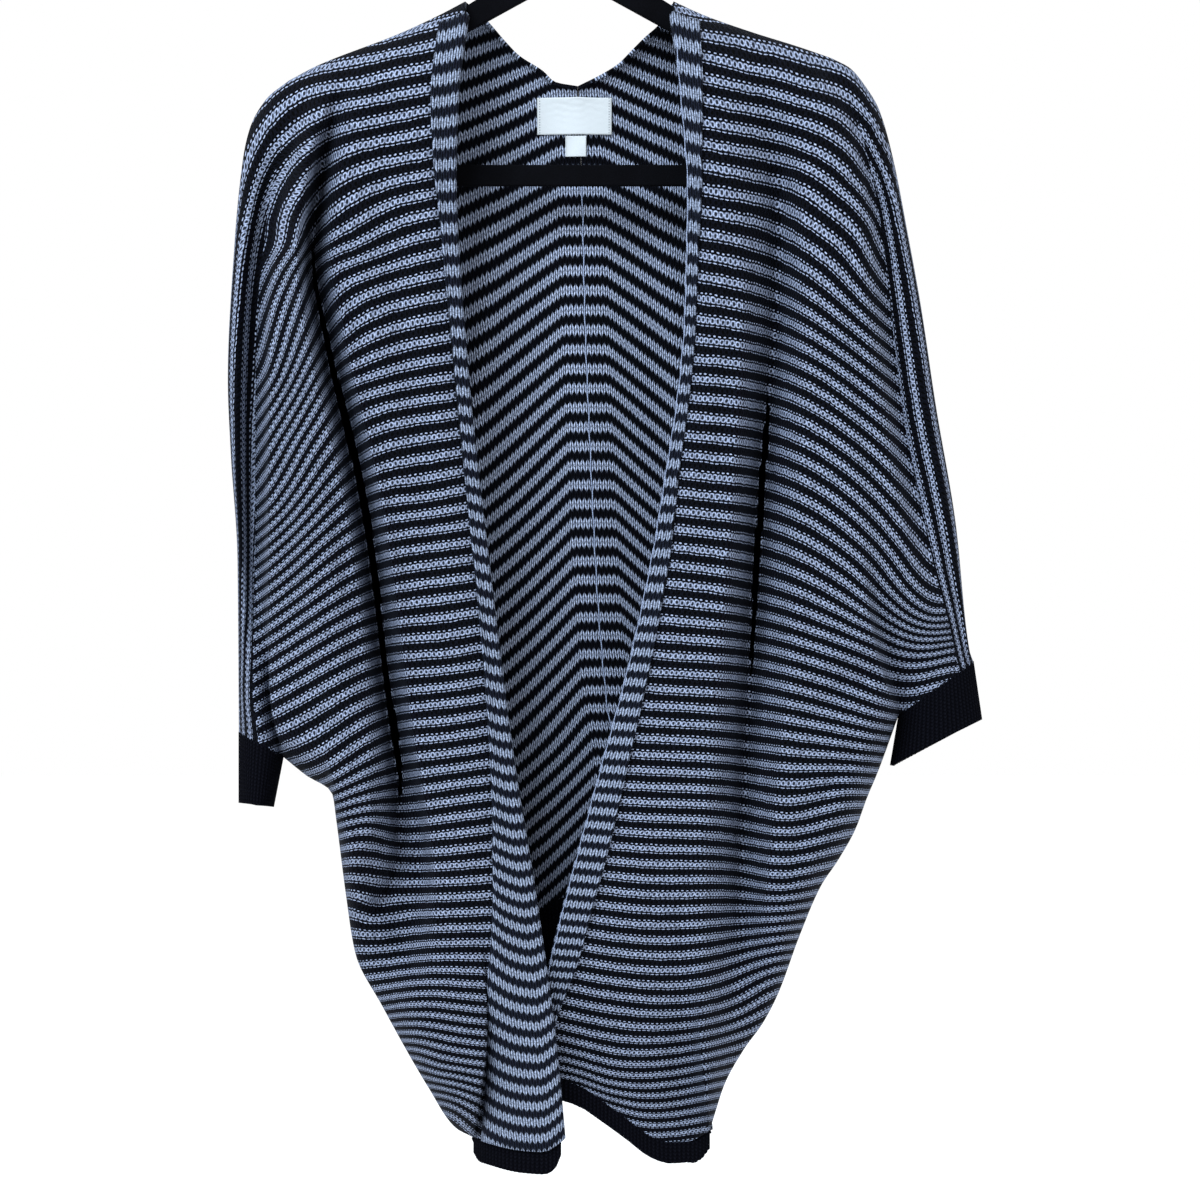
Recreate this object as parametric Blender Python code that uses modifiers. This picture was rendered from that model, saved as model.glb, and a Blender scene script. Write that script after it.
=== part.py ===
"""Batwing cardigan hanging open on a velvet clothes hanger.

The origin is the point inside the hook's bend that rests on a rail. +Z is up and the fronts face -Y, so the
wearer's right half is on -X. Sizes below are millimetres, and the meshes are built in metres.

The tables give each line of the cardigan as it is seen from straight in front: across is the distance to the
right of the hook, and drop the distance below it, both measured on the hanger's plane. Cloth that lies nearer
to the eye looks larger, so in_place() draws it in towards the line of sight by its distance forward.
"""

import math

import bpy
import numpy as np

MM = 0.001

# Where the cardigan is seen from.
EYE_ACROSS = 22.0
EYE_DROP = 551.0
EYE_DISTANCE = 1500.0

# The knitted cloth and its seams.
WALL = 2.4
SEAM_GAP = 0.3
HALF_GAP = SEAM_GAP / 2
SHOULDER_ROUND = 62.0
SIDE_ROUND = 34.0
SHOULDER_CURVE = 0.3
FOLD_START = 120.0
CUFF_BLEND = 150.0
NECK_DEPTH = 24.0
LIP = 0.12

# Cloth lines of the wearer's right half, as (across, drop).
RIGHT = {
    "shoulder": ((-202, 177), (-181, 166), (-122, 143), (-94, 130), (-75, 120)),
    "overarm": ((-202, 177), (-218, 190), (-230, 211), (-235, 233), (-241, 292), (-246, 392), (-244, 443),
                (-239, 522), (-238, 647)),
    "ridge": ((-179, 166), (-196, 227), (-209, 284), (-216, 356), (-217, 443), (-217, 551), (-215, 623),
              (-206, 664)),
    "valley": ((-162, 158), (-181, 240), (-186, 299), (-173, 371), (-153, 454), (-142, 516), (-130, 620),
               (-120, 702), (-127, 744), (-158, 788)),
    "side": ((-206, 664), (-190, 677), (-171, 690), (-168, 709), (-161, 763), (-154, 806), (-135, 843),
             (-101, 903), (-82, 931), (-69, 938)),
    "hem": ((-69, 938), (-34, 947), (-18, 948), (-6, 941)),
    "edge": ((-75, 120), (-83, 189), (-85, 245), (-77, 378), (-62, 516), (-43, 668), (-27, 767), (-13, 868),
             (-6, 941)),
}

# Cloth lines of the wearer's left half.
LEFT = {
    "shoulder": ((189, 161), (166, 153), (131, 142), (97, 130), (75, 120)),
    "overarm": ((189, 161), (202, 168), (213, 181), (223, 198), (233, 233), (243, 284), (253, 339),
                (264, 412), (278, 495), (288, 587), (291, 596)),
    "ridge": ((174, 156), (200, 205), (217, 277), (226, 371), (233, 426), (243, 474), (256, 522), (270, 562),
              (278, 592)),
    "crest": ((160, 152), (176, 260), (180, 371), (176, 495), (168, 573), (158, 640), (150, 731), (166, 792)),
    "valley": ((150, 148), (156, 263), (151, 335), (143, 436), (138, 522), (131, 608), (126, 695), (122, 767),
               (119, 826), (122, 873)),
    "side": ((237, 634), (222, 675), (214, 694), (206, 716), (193, 739), (181, 757), (166, 792), (150, 835),
             (139, 856), (126, 874), (112, 899), (105, 920), (101, 933)),
    "hem": ((101, 933), (86, 941), (72, 942), (59, 938), (40, 924), (22, 911), (7, 901), (-8, 896),
            (-27, 893)),
    "edge": ((75, 120), (83, 190), (88, 258), (86, 348), (68, 488), (48, 588), (19, 696), (-7, 795),
             (-23, 868), (-27, 893)),
}

# The back's own lines: neckline and hem from the centre seam outwards, and the centre seam itself.
NECKLINE = {
    "right": ((6, 181), (-10, 178), (-19, 170), (-36, 159), (-45, 150), (-60, 133), (-75, 120)),
    "left": ((6, 181), (22, 173), (35, 165), (45, 155), (54, 146), (64, 137), (75, 120)),
}
BACK_HEM = {
    "right": ((38, 748), (1, 762), (-29, 782), (-44, 840), (-54, 905), (-69, 938)),
    "left": ((38, 748), (55, 764), (73, 798), (88, 856), (101, 933)),
}
CENTRE_SEAM = ((6, 181), (9, 255), (11, 345), (15, 446), (20, 546), (27, 626), (33, 662), (38, 748))

# Each cuff seam and cuff end is an oval: its outer and inner end as (across, drop), and half its depth.
CUFFS = {
    "right": {"seam": ((-238, 647), (-206, 664)), "end": ((-238, 697), (-213, 700)), "half_depth": (38, 40)},
    "left": {"seam": ((291, 596), (237, 634)), "end": ((297, 637), (231, 670)), "half_depth": (27, 29)},
}
CUFF_SIDES = 28

# How far each guide line stands off the seams' plane: in front, and behind.
# name: (place on the top edge, place on the lower edge, forward, backward)
RIGHT_GUIDES = {
    "overarm": (0.00, 0.00, 0, 0),
    "arm_crest": (0.05, 0.20, 22, 20),
    "arm_valley": (0.12, 0.47, 17, 19),
    "arm_wall": (0.16, 0.72, 24, 22),
    "ridge": (0.20, 1.00, 44, 32),
    "bulge": (0.28, 1.28, 55, 40),
    "valley": (0.36, 1.58, 15, 18),
    "body_crest": (0.45, 1.73, 46, 37),
    "body": (0.70, 2.00, 50, 40),
    "inner": (0.86, 2.35, 47, 38),
    "edge": (1.00, 3.00, 43, 33),
}
LEFT_GUIDES = {
    "overarm": (0.00, 0.00, 0, 0),
    "arm_crest": (0.05, 0.14, 22, 20),
    "arm_valley": (0.10, 0.28, 19, 21),
    "arm_wall": (0.13, 0.38, 28, 24),
    "ridge": (0.16, 0.50, 40, 30),
    "bulge": (0.24, 1.00, 50, 38),
    "slope": (0.30, 1.35, 48, 36),
    "crest": (0.36, 1.58, 44, 34),
    "valley": (0.45, 1.80, 20, 20),
    "body": (0.66, 2.00, 50, 40),
    "inner": (0.84, 2.45, 46, 38),
    "edge": (1.00, 3.00, 40, 33),
}
RIGHT_HEM_FORWARD = 52.0
LEFT_HEM_FORWARD = 24.0
BACK_HEM_BACKWARD = 36.0

# The turned-out front bands: (share of the edge's length, width).
BAND_WIDTHS = {
    "right": ((0, 18), (0.1, 18), (0.17, 14), (0.24, 9), (0.34, 7.5), (0.5, 9), (0.6, 11), (0.7, 17),
              (0.78, 27), (0.86, 40), (0.93, 52), (1, 60)),
    "left": ((0, 19), (0.1, 16), (0.18, 11), (0.3, 6.5), (0.42, 7), (0.52, 11), (0.66, 14), (0.8, 18),
             (0.88, 17), (0.95, 10), (1, 6)),
}

# Ribbed edges and sewn-on pieces.
FRONT_RIB = 15.0
# The back ribs, by place along the hem from the side seam: height, and lean inwards for each unit down.
BACK_RIBS = {
    "right": {"height": ((0, 15), (0.2, 30), (0.6, 56), (1, 56)),
              "lean": ((0, 0.4), (0.08, 1.2), (0.5, 1.2), (0.75, 0.1), (1, 0))},
    "left": {"height": ((0, 15), (0.7, 18), (0.85, 40), (1, 56)),
             "lean": ((0, 0.9), (0.1, 1.2), (0.75, 1.1), (0.92, 0.1), (1, 0))},
}
TRIM_WALL = 2.0
LABEL_SIZE = (54.0, 26.0)
LABEL_CENTRE = (3.5, 201.0)
TAG_SIZE = (15.0, 15.0)
TAG_CENTRE = (4.5, 222.5)
LABEL_WALL = 0.8

# Hanger: flocked flat frame with a trouser bar, and a wire hook.
HANGER_THICK = 5.0
HANGER_UNDER_SEAM = 4.2
ARM_HEIGHT = 19.0
BAR_TOP = 238.0
BAR_BOTTOM = 253.0
BAR_HALF_LENGTH = 165.0
NECK_HALF_WIDTH = 8.0
NECK_TOP = 76.0
HOOK_WIRE = 3.6
HOOK_INSIDE_RADIUS = 18.0

ARM_END = 9.0
BAR_CORNER = 14.0
HANGER_EDGE = 1.0
LABEL_CLEAR = 0.7
CUFF_GAP = 1.2
BAND_LIFT = 1.1
RIB_GAP = 1.3

# How finely the sheets are cut up: steps between guide lines, rows down, and steps across a band.
SHEET_STEPS = {
    "right": (2, 1, 1, 2, 2, 2, 2, 2, 2, 2),
    "left": (2, 1, 1, 2, 2, 2, 2, 2, 2, 2, 2),
}
SHEET_ROWS = 28
BAND_STEPS = 5

COLOURS = {
    "knit": ((0.030, 0.036, 0.060), 0.9),
    "rib": ((0.006, 0.006, 0.014), 0.92),
    "label": ((0.78, 0.77, 0.74), 0.7),
    "velvet": ((0.004, 0.004, 0.006), 0.95),
    "hook_metal": ((0.72, 0.72, 0.74), 0.25),
}


def smooth(stops, values, places):
    """A monotone cubic through the rows of values at stops, read at places: it never overshoots a row."""
    stops = np.asarray(stops, float)
    values = np.asarray(values, float)
    step = np.diff(stops)[:, None]
    rise = np.diff(values.reshape(len(stops), -1), axis=0) / step
    slope = np.zeros((len(stops), rise.shape[1]))
    same_way = rise[:-1] * rise[1:] > 0
    total = np.where(same_way, rise[:-1] + rise[1:], 1.0)
    slope[1:-1] = np.where(same_way, 2 * rise[:-1] * rise[1:] / total, 0.0)
    slope[0] = rise[0]
    slope[-1] = rise[-1]
    flat = values.reshape(len(stops), -1)
    index = np.clip(np.searchsorted(stops, places, side="right") - 1, 0, len(step) - 1)
    width = step[index]
    f = ((places - stops[index]) / width[:, 0])[:, None]
    result = (
        flat[index] * (1 + 2 * f) * (1 - f) ** 2
        + slope[index] * width * f * (1 - f) ** 2
        + flat[index + 1] * f * f * (3 - 2 * f)
        + slope[index + 1] * width * f * f * (f - 1)
    )
    return result if values.ndim > 1 else result[:, 0]


def run_of(points):
    """Distance travelled at each point of a line."""
    return np.concatenate(([0.0], np.cumsum(np.linalg.norm(np.diff(points, axis=0), axis=1))))


def along(table, shares):
    """Points on the smooth line through a table's rows, at these shares of its length."""
    rows = np.asarray(table, float)
    chord = run_of(rows)
    dense = smooth(chord, rows, np.linspace(0, chord[-1], 500))
    share = run_of(dense) / run_of(dense)[-1]
    return np.stack([np.interp(shares, share, dense[:, k]) for k in range(rows.shape[1])], axis=1)


def quarter_round(share):
    """Height of a quarter circle over the share of the way in from its foot."""
    return np.sqrt(1 - (1 - np.clip(share, 0, 1)) ** 2)


def ease(share):
    share = np.clip(share, 0, 1)
    return share * share * (3 - 2 * share)


def in_place(across, drop, forward):
    """Seen positions turned to real ones, in metres: nearer cloth is drawn in towards the line of sight."""
    nearer = 1 - forward / EYE_DISTANCE
    x = EYE_ACROSS + (across - EYE_ACROSS) * nearer
    z = -(EYE_DROP + (drop - EYE_DROP) * nearer)
    return np.stack(np.broadcast_arrays(x, -forward, z), axis=-1) * MM


def oval(side, level, turns):
    """Points (across, drop, forward) round a cuff's oval, from its outer end round by its inner one."""
    cuff = CUFFS[side]
    outer, inner = (np.array(end, float) for end in cuff[("seam", "end")[level]])
    swing = np.cos(turns)[:, None]
    flat = (outer + inner) / 2 + (outer - inner) / 2 * swing
    return np.column_stack((flat, cuff["half_depth"][level] * np.sin(turns)))


def lower_edge(lines, side, hem, hem_forward, places):
    """The sheet's lower edge (across, drop, off-plane): cuff seam from 0 to 1, side seam to 2, hem to 3."""
    places = np.asarray(places, float)
    cuff = oval(side, 0, np.clip(places, 0, 1) * math.pi)
    flat = np.where(
        (places < 1)[:, None], cuff[:, :2],
        np.where((places < 2)[:, None], along(lines["side"], np.clip(places - 1, 0, 1)),
                 along(hem, np.clip(places - 2, 0, 1))),
    )
    hem_stand = np.where(places < 2, 0.0, hem_forward * quarter_round(places - 2))
    stand = np.where(places < 1, cuff[:, 2], hem_stand)
    return np.column_stack((flat, stand))


def guide_lines(lines, guides, inner_line, shares):
    """Every guide line of a half at the same shares of its length, in order from the overarm inwards."""
    overarm = along(lines["overarm"], shares)
    ridge = along(lines["ridge"], shares)
    valley = along(lines["valley"], shares)
    inner = along(inner_line, shares)
    body_side = valley + (inner - valley) * 0.18
    found = {
        "overarm": overarm,
        "arm_crest": overarm + (ridge - overarm) * 0.30,
        "arm_valley": overarm + (ridge - overarm) * 0.72,
        "arm_wall": overarm + (ridge - overarm) * 0.90,
        "ridge": ridge,
        "bulge": ridge + (valley - ridge) * 0.45,
        "valley": valley,
        "body_crest": body_side,
        "body": valley + (inner - valley) * 0.5,
        "inner": valley + (inner - valley) * 0.78,
        "edge": inner,
    }
    if "crest" in lines:
        crest = along(lines["crest"], shares)
        found["crest"] = crest
        found["bulge"] = ridge + (crest - ridge) * 0.40
        found["slope"] = ridge + (crest - ridge) * 0.72
    return np.stack([found[name] for name in guides])


def sheet(side, facing, columns, rows):
    """One sheet of a half, as points (column, row, xyz) on its outer face, from overarm to inner edge.

    columns is how many steps lie between neighbouring guide lines and rows the number of rows. The guide
    lines are joined across by a monotone cubic and drawn to the sheet's top and lower edge at their ends.
    They stand off the seams' plane by their own distance, rounding down to nothing at the seams.
    """
    lines, guides = (RIGHT, RIGHT_GUIDES) if side == "right" else (LEFT, LEFT_GUIDES)
    names = list(guides)
    front = facing == "front"
    top = lines["shoulder"]
    if front:
        inner_line, hem = lines["edge"], lines["hem"]
        hem_forward = RIGHT_HEM_FORWARD if side == "right" else LEFT_HEM_FORWARD
    else:
        inner_line, hem = CENTRE_SEAM, BACK_HEM[side][::-1]
        hem_forward = BACK_HEM_BACKWARD
    shares = row_shares(rows)
    base = guide_lines(lines, guides, inner_line, shares)
    stand = np.array([guides[name][2 if front else 3] for name in names], float)
    place_top = np.array([guides[name][0] for name in names])
    place_low = np.array([guides[name][1] for name in names])
    if not front:
        place_top = np.where(place_top > 0.6, 1 + (place_top - 0.7) / 0.3, place_top)
        place_top = np.clip(place_top, 0, 2)
        place_low = np.where(place_low > 2, 2 + np.maximum(place_low - 2, 0) ** 0.6, place_low)

    gaps = np.linalg.norm(np.diff(base, axis=0), axis=2).mean(axis=1)
    stops = np.concatenate(([0.0], np.cumsum(gaps + 0.5 * np.abs(np.diff(stand)))))
    places = column_places(stops, columns, names.index("body"))

    flat = smooth(stops, base.reshape(len(names), -1), places).reshape(len(places), rows, 2)
    off = smooth(stops, stand, places)
    first = places < stops[1]
    off[first] = stand[1] * quarter_round(places[first] / stops[1])
    tops = np.interp(places, stops, place_top)
    lows = np.interp(places, stops, place_low)

    head = along(top, np.clip(tops, 0, 1))
    head_off = np.zeros(len(places))
    if not front:
        neck = along(NECKLINE[side][::-1], np.clip(tops - 1, 0, 1))
        head = np.where((tops > 1)[:, None], neck, head)
        head_off = NECK_DEPTH * quarter_round(np.clip(tops - 1, 0, 1))
    foot = lower_edge(lines, side, hem, hem_forward, lows)

    t = shares[None, :, None]
    flat = flat + (1 - t) ** 3 * (head - flat[:, 0])[:, None] + t ** 3 * (foot[:, :2] - flat[:, -1])[:, None]
    run = np.stack([run_of(line) for line in flat])
    left_over = run[:, -1:] - run
    rise = quarter_round(run / SHOULDER_ROUND)
    round_fall = 1 - quarter_round(left_over / SIDE_ROUND)
    soft_fall = ease(1 - left_over / CUFF_BLEND)
    seam_like = np.clip(1 - foot[:, 2] / 12, 0, 1)[:, None]
    fall = seam_like * round_fall + (1 - seam_like) * soft_fall
    plain = stand[-2] * quarter_round(places / (stops[-1] * SHOULDER_CURVE))[:, None]
    stood = plain + (off[:, None] - plain) * ease(run / FOLD_START)
    depth = head_off[:, None] * (1 - rise) + stood * rise
    depth = depth * (1 - fall) + foot[:, 2:] * fall
    depth = HALF_GAP + np.maximum(depth, 0)
    points = in_place(flat[..., 0], flat[..., 1], depth if front else -depth)
    if not front:
        away = -1 if side == "right" else 1
        points[:, :, 0] += away * HALF_GAP * MM * ease(places / stops[-1])[:, None]
    return points, tops, lows


def row_shares(rows):
    """Row places from 0 to 1, with a narrow first and last row that turn the cloth square to the seams."""
    inside = np.linspace(0, 1, rows - 3)[1:-1]
    return np.concatenate(([0.0, LIP / 600, 0.012], inside, [1 - LIP / 300, 1.0]))


def column_places(stops, columns, corner):
    """Places between guide lines, with a narrow column at the overarm seam and at the hem's side corner."""
    found = [0.0, stops[1] * 0.004, stops[1] * 0.12]
    for k, count in enumerate(columns):
        found.extend(stops[k] + (stops[k + 1] - stops[k]) * (np.arange(count) + 1) / count)
    found.append(stops[corner] + (stops[corner + 1] - stops[corner]) * 0.004)
    return np.array(sorted(found))


def new_material(slot):
    colour, roughness = COLOURS[slot]
    material = bpy.data.materials.new(slot)
    material.use_nodes = True
    shader = material.node_tree.nodes["Principled BSDF"]
    shader.inputs["Base Color"].default_value = (*colour, 1.0)
    shader.inputs["Roughness"].default_value = roughness
    shader.inputs["Metallic"].default_value = 1.0 if slot == "hook_metal" else 0.0
    return material


def cells_of(number):
    """The four corners of each cell of a grid of numbered points."""
    corners = (number[:-1, :-1], number[1:, :-1], number[1:, 1:], number[:-1, 1:])
    return np.stack(corners, axis=-1).reshape(-1, 4)


def grid_mesh(name, points, flip=False, closed=False):
    """A mesh over a grid of points (column, row, xyz). A closed one joins its last column to its first."""
    columns, rows = points.shape[:2]
    number = np.arange(columns * rows).reshape(columns, rows)
    if closed:
        number = np.vstack((number, number[:1]))
    faces = cells_of(number)
    if flip:
        faces = faces[:, ::-1]
    mesh = bpy.data.meshes.new(name)
    mesh.from_pydata(points.reshape(-1, 3).tolist(), [], faces.tolist())
    mesh.update()
    return mesh


def add(name, data, slot, collection):
    obj = bpy.data.objects.new(name, data)
    obj.data.materials.append(bpy.data.materials[slot])
    collection.objects.link(obj)
    return obj


def cloth(name, points, slot, collection, flip=False, closed=False, wall=WALL, facing=None):
    """A wall of cloth under a grid of outer points, thickened inwards and kept to its side of the seams."""
    obj = add(name, grid_mesh(name, points, flip, closed), slot, collection)
    solid = obj.modifiers.new("wall", "SOLIDIFY")
    solid.thickness = wall * MM
    solid.offset = -1.0
    if facing:
        graph = bpy.context.evaluated_depsgraph_get()
        thick = bpy.data.meshes.new_from_object(obj.evaluated_get(graph))
        obj.modifiers.remove(solid)
        limit = HALF_GAP * MM
        for vertex in thick.vertices:
            if facing == "front":
                vertex.co.y = min(vertex.co.y, -limit)
            else:
                vertex.co.y = max(vertex.co.y, limit)
        obj.data = thick
    for polygon in obj.data.polygons:
        polygon.use_smooth = True
    return obj


def facing_out(points):
    """Unit vectors square to a grid at its points, away from the side that columns turn to rows towards."""
    across = np.gradient(points, axis=0)
    down = np.gradient(points, axis=1)
    square = np.cross(across, down)
    return square / np.maximum(np.linalg.norm(square, axis=2, keepdims=True), 1e-12)


def band_points(side, points):
    """The turned-out band: a front's points beside its edge, moved out by the lift and the band's wall."""
    columns, rows = points.shape[:2]
    outward = facing_out(points) * (1 if side == "left" else -1)
    edge_share = run_of(points[-1]) / run_of(points[-1])[-1]
    widths = smooth(*np.array(BAND_WIDTHS[side], float).T, edge_share) * MM
    found = np.empty((BAND_STEPS + 1, rows, 3))
    for row in range(rows):
        line = points[::-1, row]
        run = run_of(line)
        wanted = np.linspace(0, min(widths[row], run[-1] * 0.98), BAND_STEPS + 1)
        for axis in range(3):
            moved = line[:, axis] + outward[::-1, row, axis] * (BAND_LIFT + TRIM_WALL) * MM
            found[:, row, axis] = np.interp(wanted, run, moved)
    return found[:, 2:-1]


def hem_rib(name, facing, flip, outer_rim, inner_rim, heights, lean, collection):
    """A rib beyond a sheet's hem: the middle of the hem's rim moved on down, leaning where it is steep.

    It starts a gap beyond both edges of the rim and is as long as its heights. A front's wall is as its
    rim's, and the back's, whose rim is steep at the side seams, is square to its own face.
    """
    hang = np.stack((lean, np.zeros(len(lean)), np.full(len(lean), -1.0)), axis=1)
    hang /= np.linalg.norm(hang, axis=1, keepdims=True)
    middle = (outer_rim + inner_rim) / 2
    through = (outer_rim - inner_rim) / 2
    if facing == "back":
        through = np.cross(hang, np.gradient(middle, axis=0))
        through /= np.linalg.norm(through, axis=1, keepdims=True)
        through *= np.sign(through[:, 1].sum()) * WALL / 2 * MM
    start = RIB_GAP * MM + np.abs(((outer_rim - inner_rim) * hang).sum(axis=1))
    levels = start[:, None] + heights[:, None] * np.array([0.0, 0.5, 1.0]) * MM
    strip = middle[:, None] + hang[:, None] * levels[:, :, None]
    outer = keep_to_side(strip + through[:, None], facing)
    inner = keep_to_side(strip - through[:, None], facing)
    walled(name, outer, inner, flip, "rib", collection)


def keep_to_side(points, facing):
    """Points trimmed flat to the seams' plane, half a seam gap off it on their own side."""
    limit = HALF_GAP * MM
    if facing == "front":
        points[..., 1] = np.minimum(points[..., 1], -limit)
    else:
        points[..., 1] = np.maximum(points[..., 1], limit)
    return points


def walled(name, outer, inner, flip, slot, collection):
    """A piece of cloth from its outer and inner grids of points, joined round all four rims."""
    columns, rows = outer.shape[:2]
    number = np.arange(columns * rows).reshape(columns, rows)
    cells = cells_of(number)
    ring = np.concatenate((number[:, 0], number[-1, 1:], number[-2::-1, -1], number[0, -2:0:-1]))
    turned = np.roll(ring, -1)
    rims = np.stack((turned, ring, ring + number.size, turned + number.size), axis=-1)
    faces = np.vstack((cells, cells[:, ::-1] + number.size, rims))
    if flip:
        faces = faces[:, ::-1]
    mesh = bpy.data.meshes.new(name)
    mesh.from_pydata(np.vstack((outer.reshape(-1, 3), inner.reshape(-1, 3))).tolist(), [], faces.tolist())
    mesh.update()
    add(name, mesh, slot, collection)
    for polygon in mesh.polygons:
        polygon.use_smooth = True


def build_halves(collection):
    backs = {}
    for side in ("right", "left"):
        for facing in ("front", "back"):
            points, tops, lows = sheet(side, facing, SHEET_STEPS[side], SHEET_ROWS)
            flip = (side == "right") == (facing == "front")
            panel = cloth(f"{side}_{facing}", points, "knit", collection, flip=flip, facing=facing)
            thick = np.array([vertex.co for vertex in panel.data.vertices])
            wall_inside = thick[len(thick) // 2:].reshape(points.shape)
            if facing == "front":
                heights = np.full((lows >= 2 - 1e-9).sum(), FRONT_RIB)
                lean = 0 * heights
                cloth(f"{side}_front_band", band_points(side, points), "knit", collection,
                      flip=side == "left", wall=TRIM_WALL)
            else:
                place = lows[lows >= 2 - 1e-9] - 2
                heights = smooth(*np.array(BACK_RIBS[side]["height"], float).T, place)
                lean = smooth(*np.array(BACK_RIBS[side]["lean"], float).T, place)
                lean = lean if side == "right" else -lean
                backs[side] = points
            hem_rib(f"{side}_{facing}_hem", facing, flip, points[lows >= 2 - 1e-9, -1],
                    wall_inside[lows >= 2 - 1e-9, -1], heights, lean, collection)
    return backs


def build_cuffs(collection):
    turns = np.linspace(0, 2 * math.pi, CUFF_SIDES, endpoint=False)
    for side in ("right", "left"):
        first, last = oval(side, 0, turns), oval(side, 1, turns)
        length = np.linalg.norm(last - first, axis=1).mean()
        levels = np.linspace(CUFF_GAP / length, 1, 5)
        rings = first[:, None] + (last - first)[:, None] * levels[None, :, None]
        points = in_place(rings[..., 0], rings[..., 1], rings[..., 2])
        cloth(f"{side}_cuff", points, "rib", collection, flip=side == "right", closed=True)


def inside_of_back(backs, x, z):
    """The y of the backs' outer face behind each place, from the four nearest of their points."""
    known = np.vstack([backs[side].reshape(-1, 3) for side in backs])
    away = (x[..., None] - known[:, 0]) ** 2 + (z[..., None] - known[:, 2]) ** 2
    nearest = np.argsort(away, axis=-1)[..., :4]
    weight = 1 / (np.take_along_axis(away, nearest, -1) + 1e-8)
    return (known[nearest, 1] * weight).sum(-1) / weight.sum(-1)


def build_labels(backs, collection):
    """The neck label and the size tag under it, bare, on the inside of the back."""
    for name, centre, size in (("neck_label", LABEL_CENTRE, LABEL_SIZE), ("size_tag", TAG_CENTRE, TAG_SIZE)):
        across = centre[0] + size[0] * np.linspace(-0.5, 0.5, 7)
        drop = centre[1] + size[1] * np.linspace(-0.5, 0.5, 4)
        grid_across, grid_drop = np.meshgrid(across, drop, indexing="ij")
        seen = in_place(grid_across, grid_drop, -NECK_DEPTH + 0 * grid_drop)
        y = inside_of_back(backs, seen[..., 0], seen[..., 2])
        seen[..., 1] = y - (WALL + LABEL_WALL + LABEL_CLEAR) * MM
        cloth(name, seen, "label", collection, flip=True, wall=LABEL_WALL)


def hanger_outline():
    """Outer and inner outline of the hanger as (across, drop): arms under the shoulders, bar across below."""
    right = along(RIGHT["shoulder"], np.linspace(0, 1, 7)) + (0, HANGER_UNDER_SEAM)
    left = along(LEFT["shoulder"], np.linspace(0, 1, 7)) + (0, HANGER_UNDER_SEAM)
    turn = np.linspace(0, math.pi / 2, 5)[:, None]
    outer, inner = [], []
    for line, way in ((right, -1), (left, 1)):
        tip = line[0] + (way * ARM_END, ARM_END)
        corner = np.array((way * BAR_HALF_LENGTH, BAR_BOTTOM))
        knee = corner - (0, BAR_CORNER)
        bend = knee + np.hstack((way * BAR_CORNER * np.cos(turn), BAR_CORNER * np.sin(turn)))
        outer.append(np.vstack(((way * NECK_HALF_WIDTH, NECK_TOP), (way * NECK_HALF_WIDTH, NECK_TOP + 6),
                                line[::-1], tip, tip + (-way * 4, ARM_HEIGHT * 0.7), bend)))
        under = line[::-1] + (0, ARM_HEIGHT)
        inner.append(np.vstack(((0, NECK_TOP + 26), under[:-2], (way * (BAR_HALF_LENGTH - 4), BAR_TOP - 14),
                                (way * (BAR_HALF_LENGTH - 12), BAR_TOP))))
    inner[1] = inner[1][1:]
    return [np.vstack((pair[0], pair[1][::-1])) for pair in (outer, inner)]


def build_hanger(collection):
    curve = bpy.data.curves.new("hanger", "CURVE")
    curve.dimensions = "2D"
    curve.fill_mode = "BOTH"
    curve.bevel_resolution = 1
    curve.bevel_depth = HANGER_EDGE * MM
    curve.offset = -HANGER_EDGE * MM
    curve.extrude = (HANGER_THICK / 2 - HANGER_EDGE) * MM
    for outline in hanger_outline():
        spline = curve.splines.new("POLY")
        spline.points.add(len(outline) - 1)
        for point, (across, drop) in zip(spline.points, outline):
            point.co = (across * MM, -drop * MM, 0, 1)
        spline.use_cyclic_u = True
    frame = add("hanger", curve, "velvet", collection)
    frame.rotation_euler = (math.pi / 2, 0, 0)


def build_hook(collection):
    """The wire: up from the hanger's neck, out to one side and round over the rail."""
    middle = HOOK_INSIDE_RADIUS + HOOK_WIRE / 2
    centre_drop = HOOK_INSIDE_RADIUS
    turn = np.radians(np.linspace(-38, 205, 28))
    bend = np.stack((middle * np.cos(turn), centre_drop - middle * np.sin(turn)), axis=1)
    stem = [(0, NECK_TOP - SEAM_GAP), (0, NECK_TOP - 14), (1.2, NECK_TOP - 23), (5, NECK_TOP - 32)]
    route = np.vstack((stem, bend))
    curve = bpy.data.curves.new("hook", "CURVE")
    curve.dimensions = "3D"
    curve.bevel_depth = HOOK_WIRE / 2 * MM
    curve.bevel_resolution = 2
    curve.use_fill_caps = True
    spline = curve.splines.new("POLY")
    spline.points.add(len(route) - 1)
    for point, (across, drop) in zip(spline.points, route):
        point.co = (across * MM, 0, -drop * MM, 1)
    add("hook", curve, "hook_metal", collection)


def main():
    for obj in list(bpy.data.objects):
        bpy.data.objects.remove(obj)
    collection = bpy.data.collections.new("batwing_cardigan")
    bpy.context.scene.collection.children.link(collection)
    for slot in COLOURS:
        new_material(slot)
    backs = build_halves(collection)
    build_cuffs(collection)
    build_labels(backs, collection)
    build_hanger(collection)
    build_hook(collection)


main()
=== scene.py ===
"""Looks of an open batwing cardigan in striped knit, hanging on a flat velvet clothes hanger.

The cloth's lines are tables in millimetres as seen from straight in front: across is the distance to the
right of the hook, drop the distance below it, on the hanger's plane. in_place() turns them to real places in
metres. Each panel is a grid of points: its columns run down the cloth, from the overarm seam to the front
edge or centre seam. Its UV map is the knitting's count: U in wales (columns of stitches), V in courses (rows).
"""

import math
from functools import partial

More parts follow.
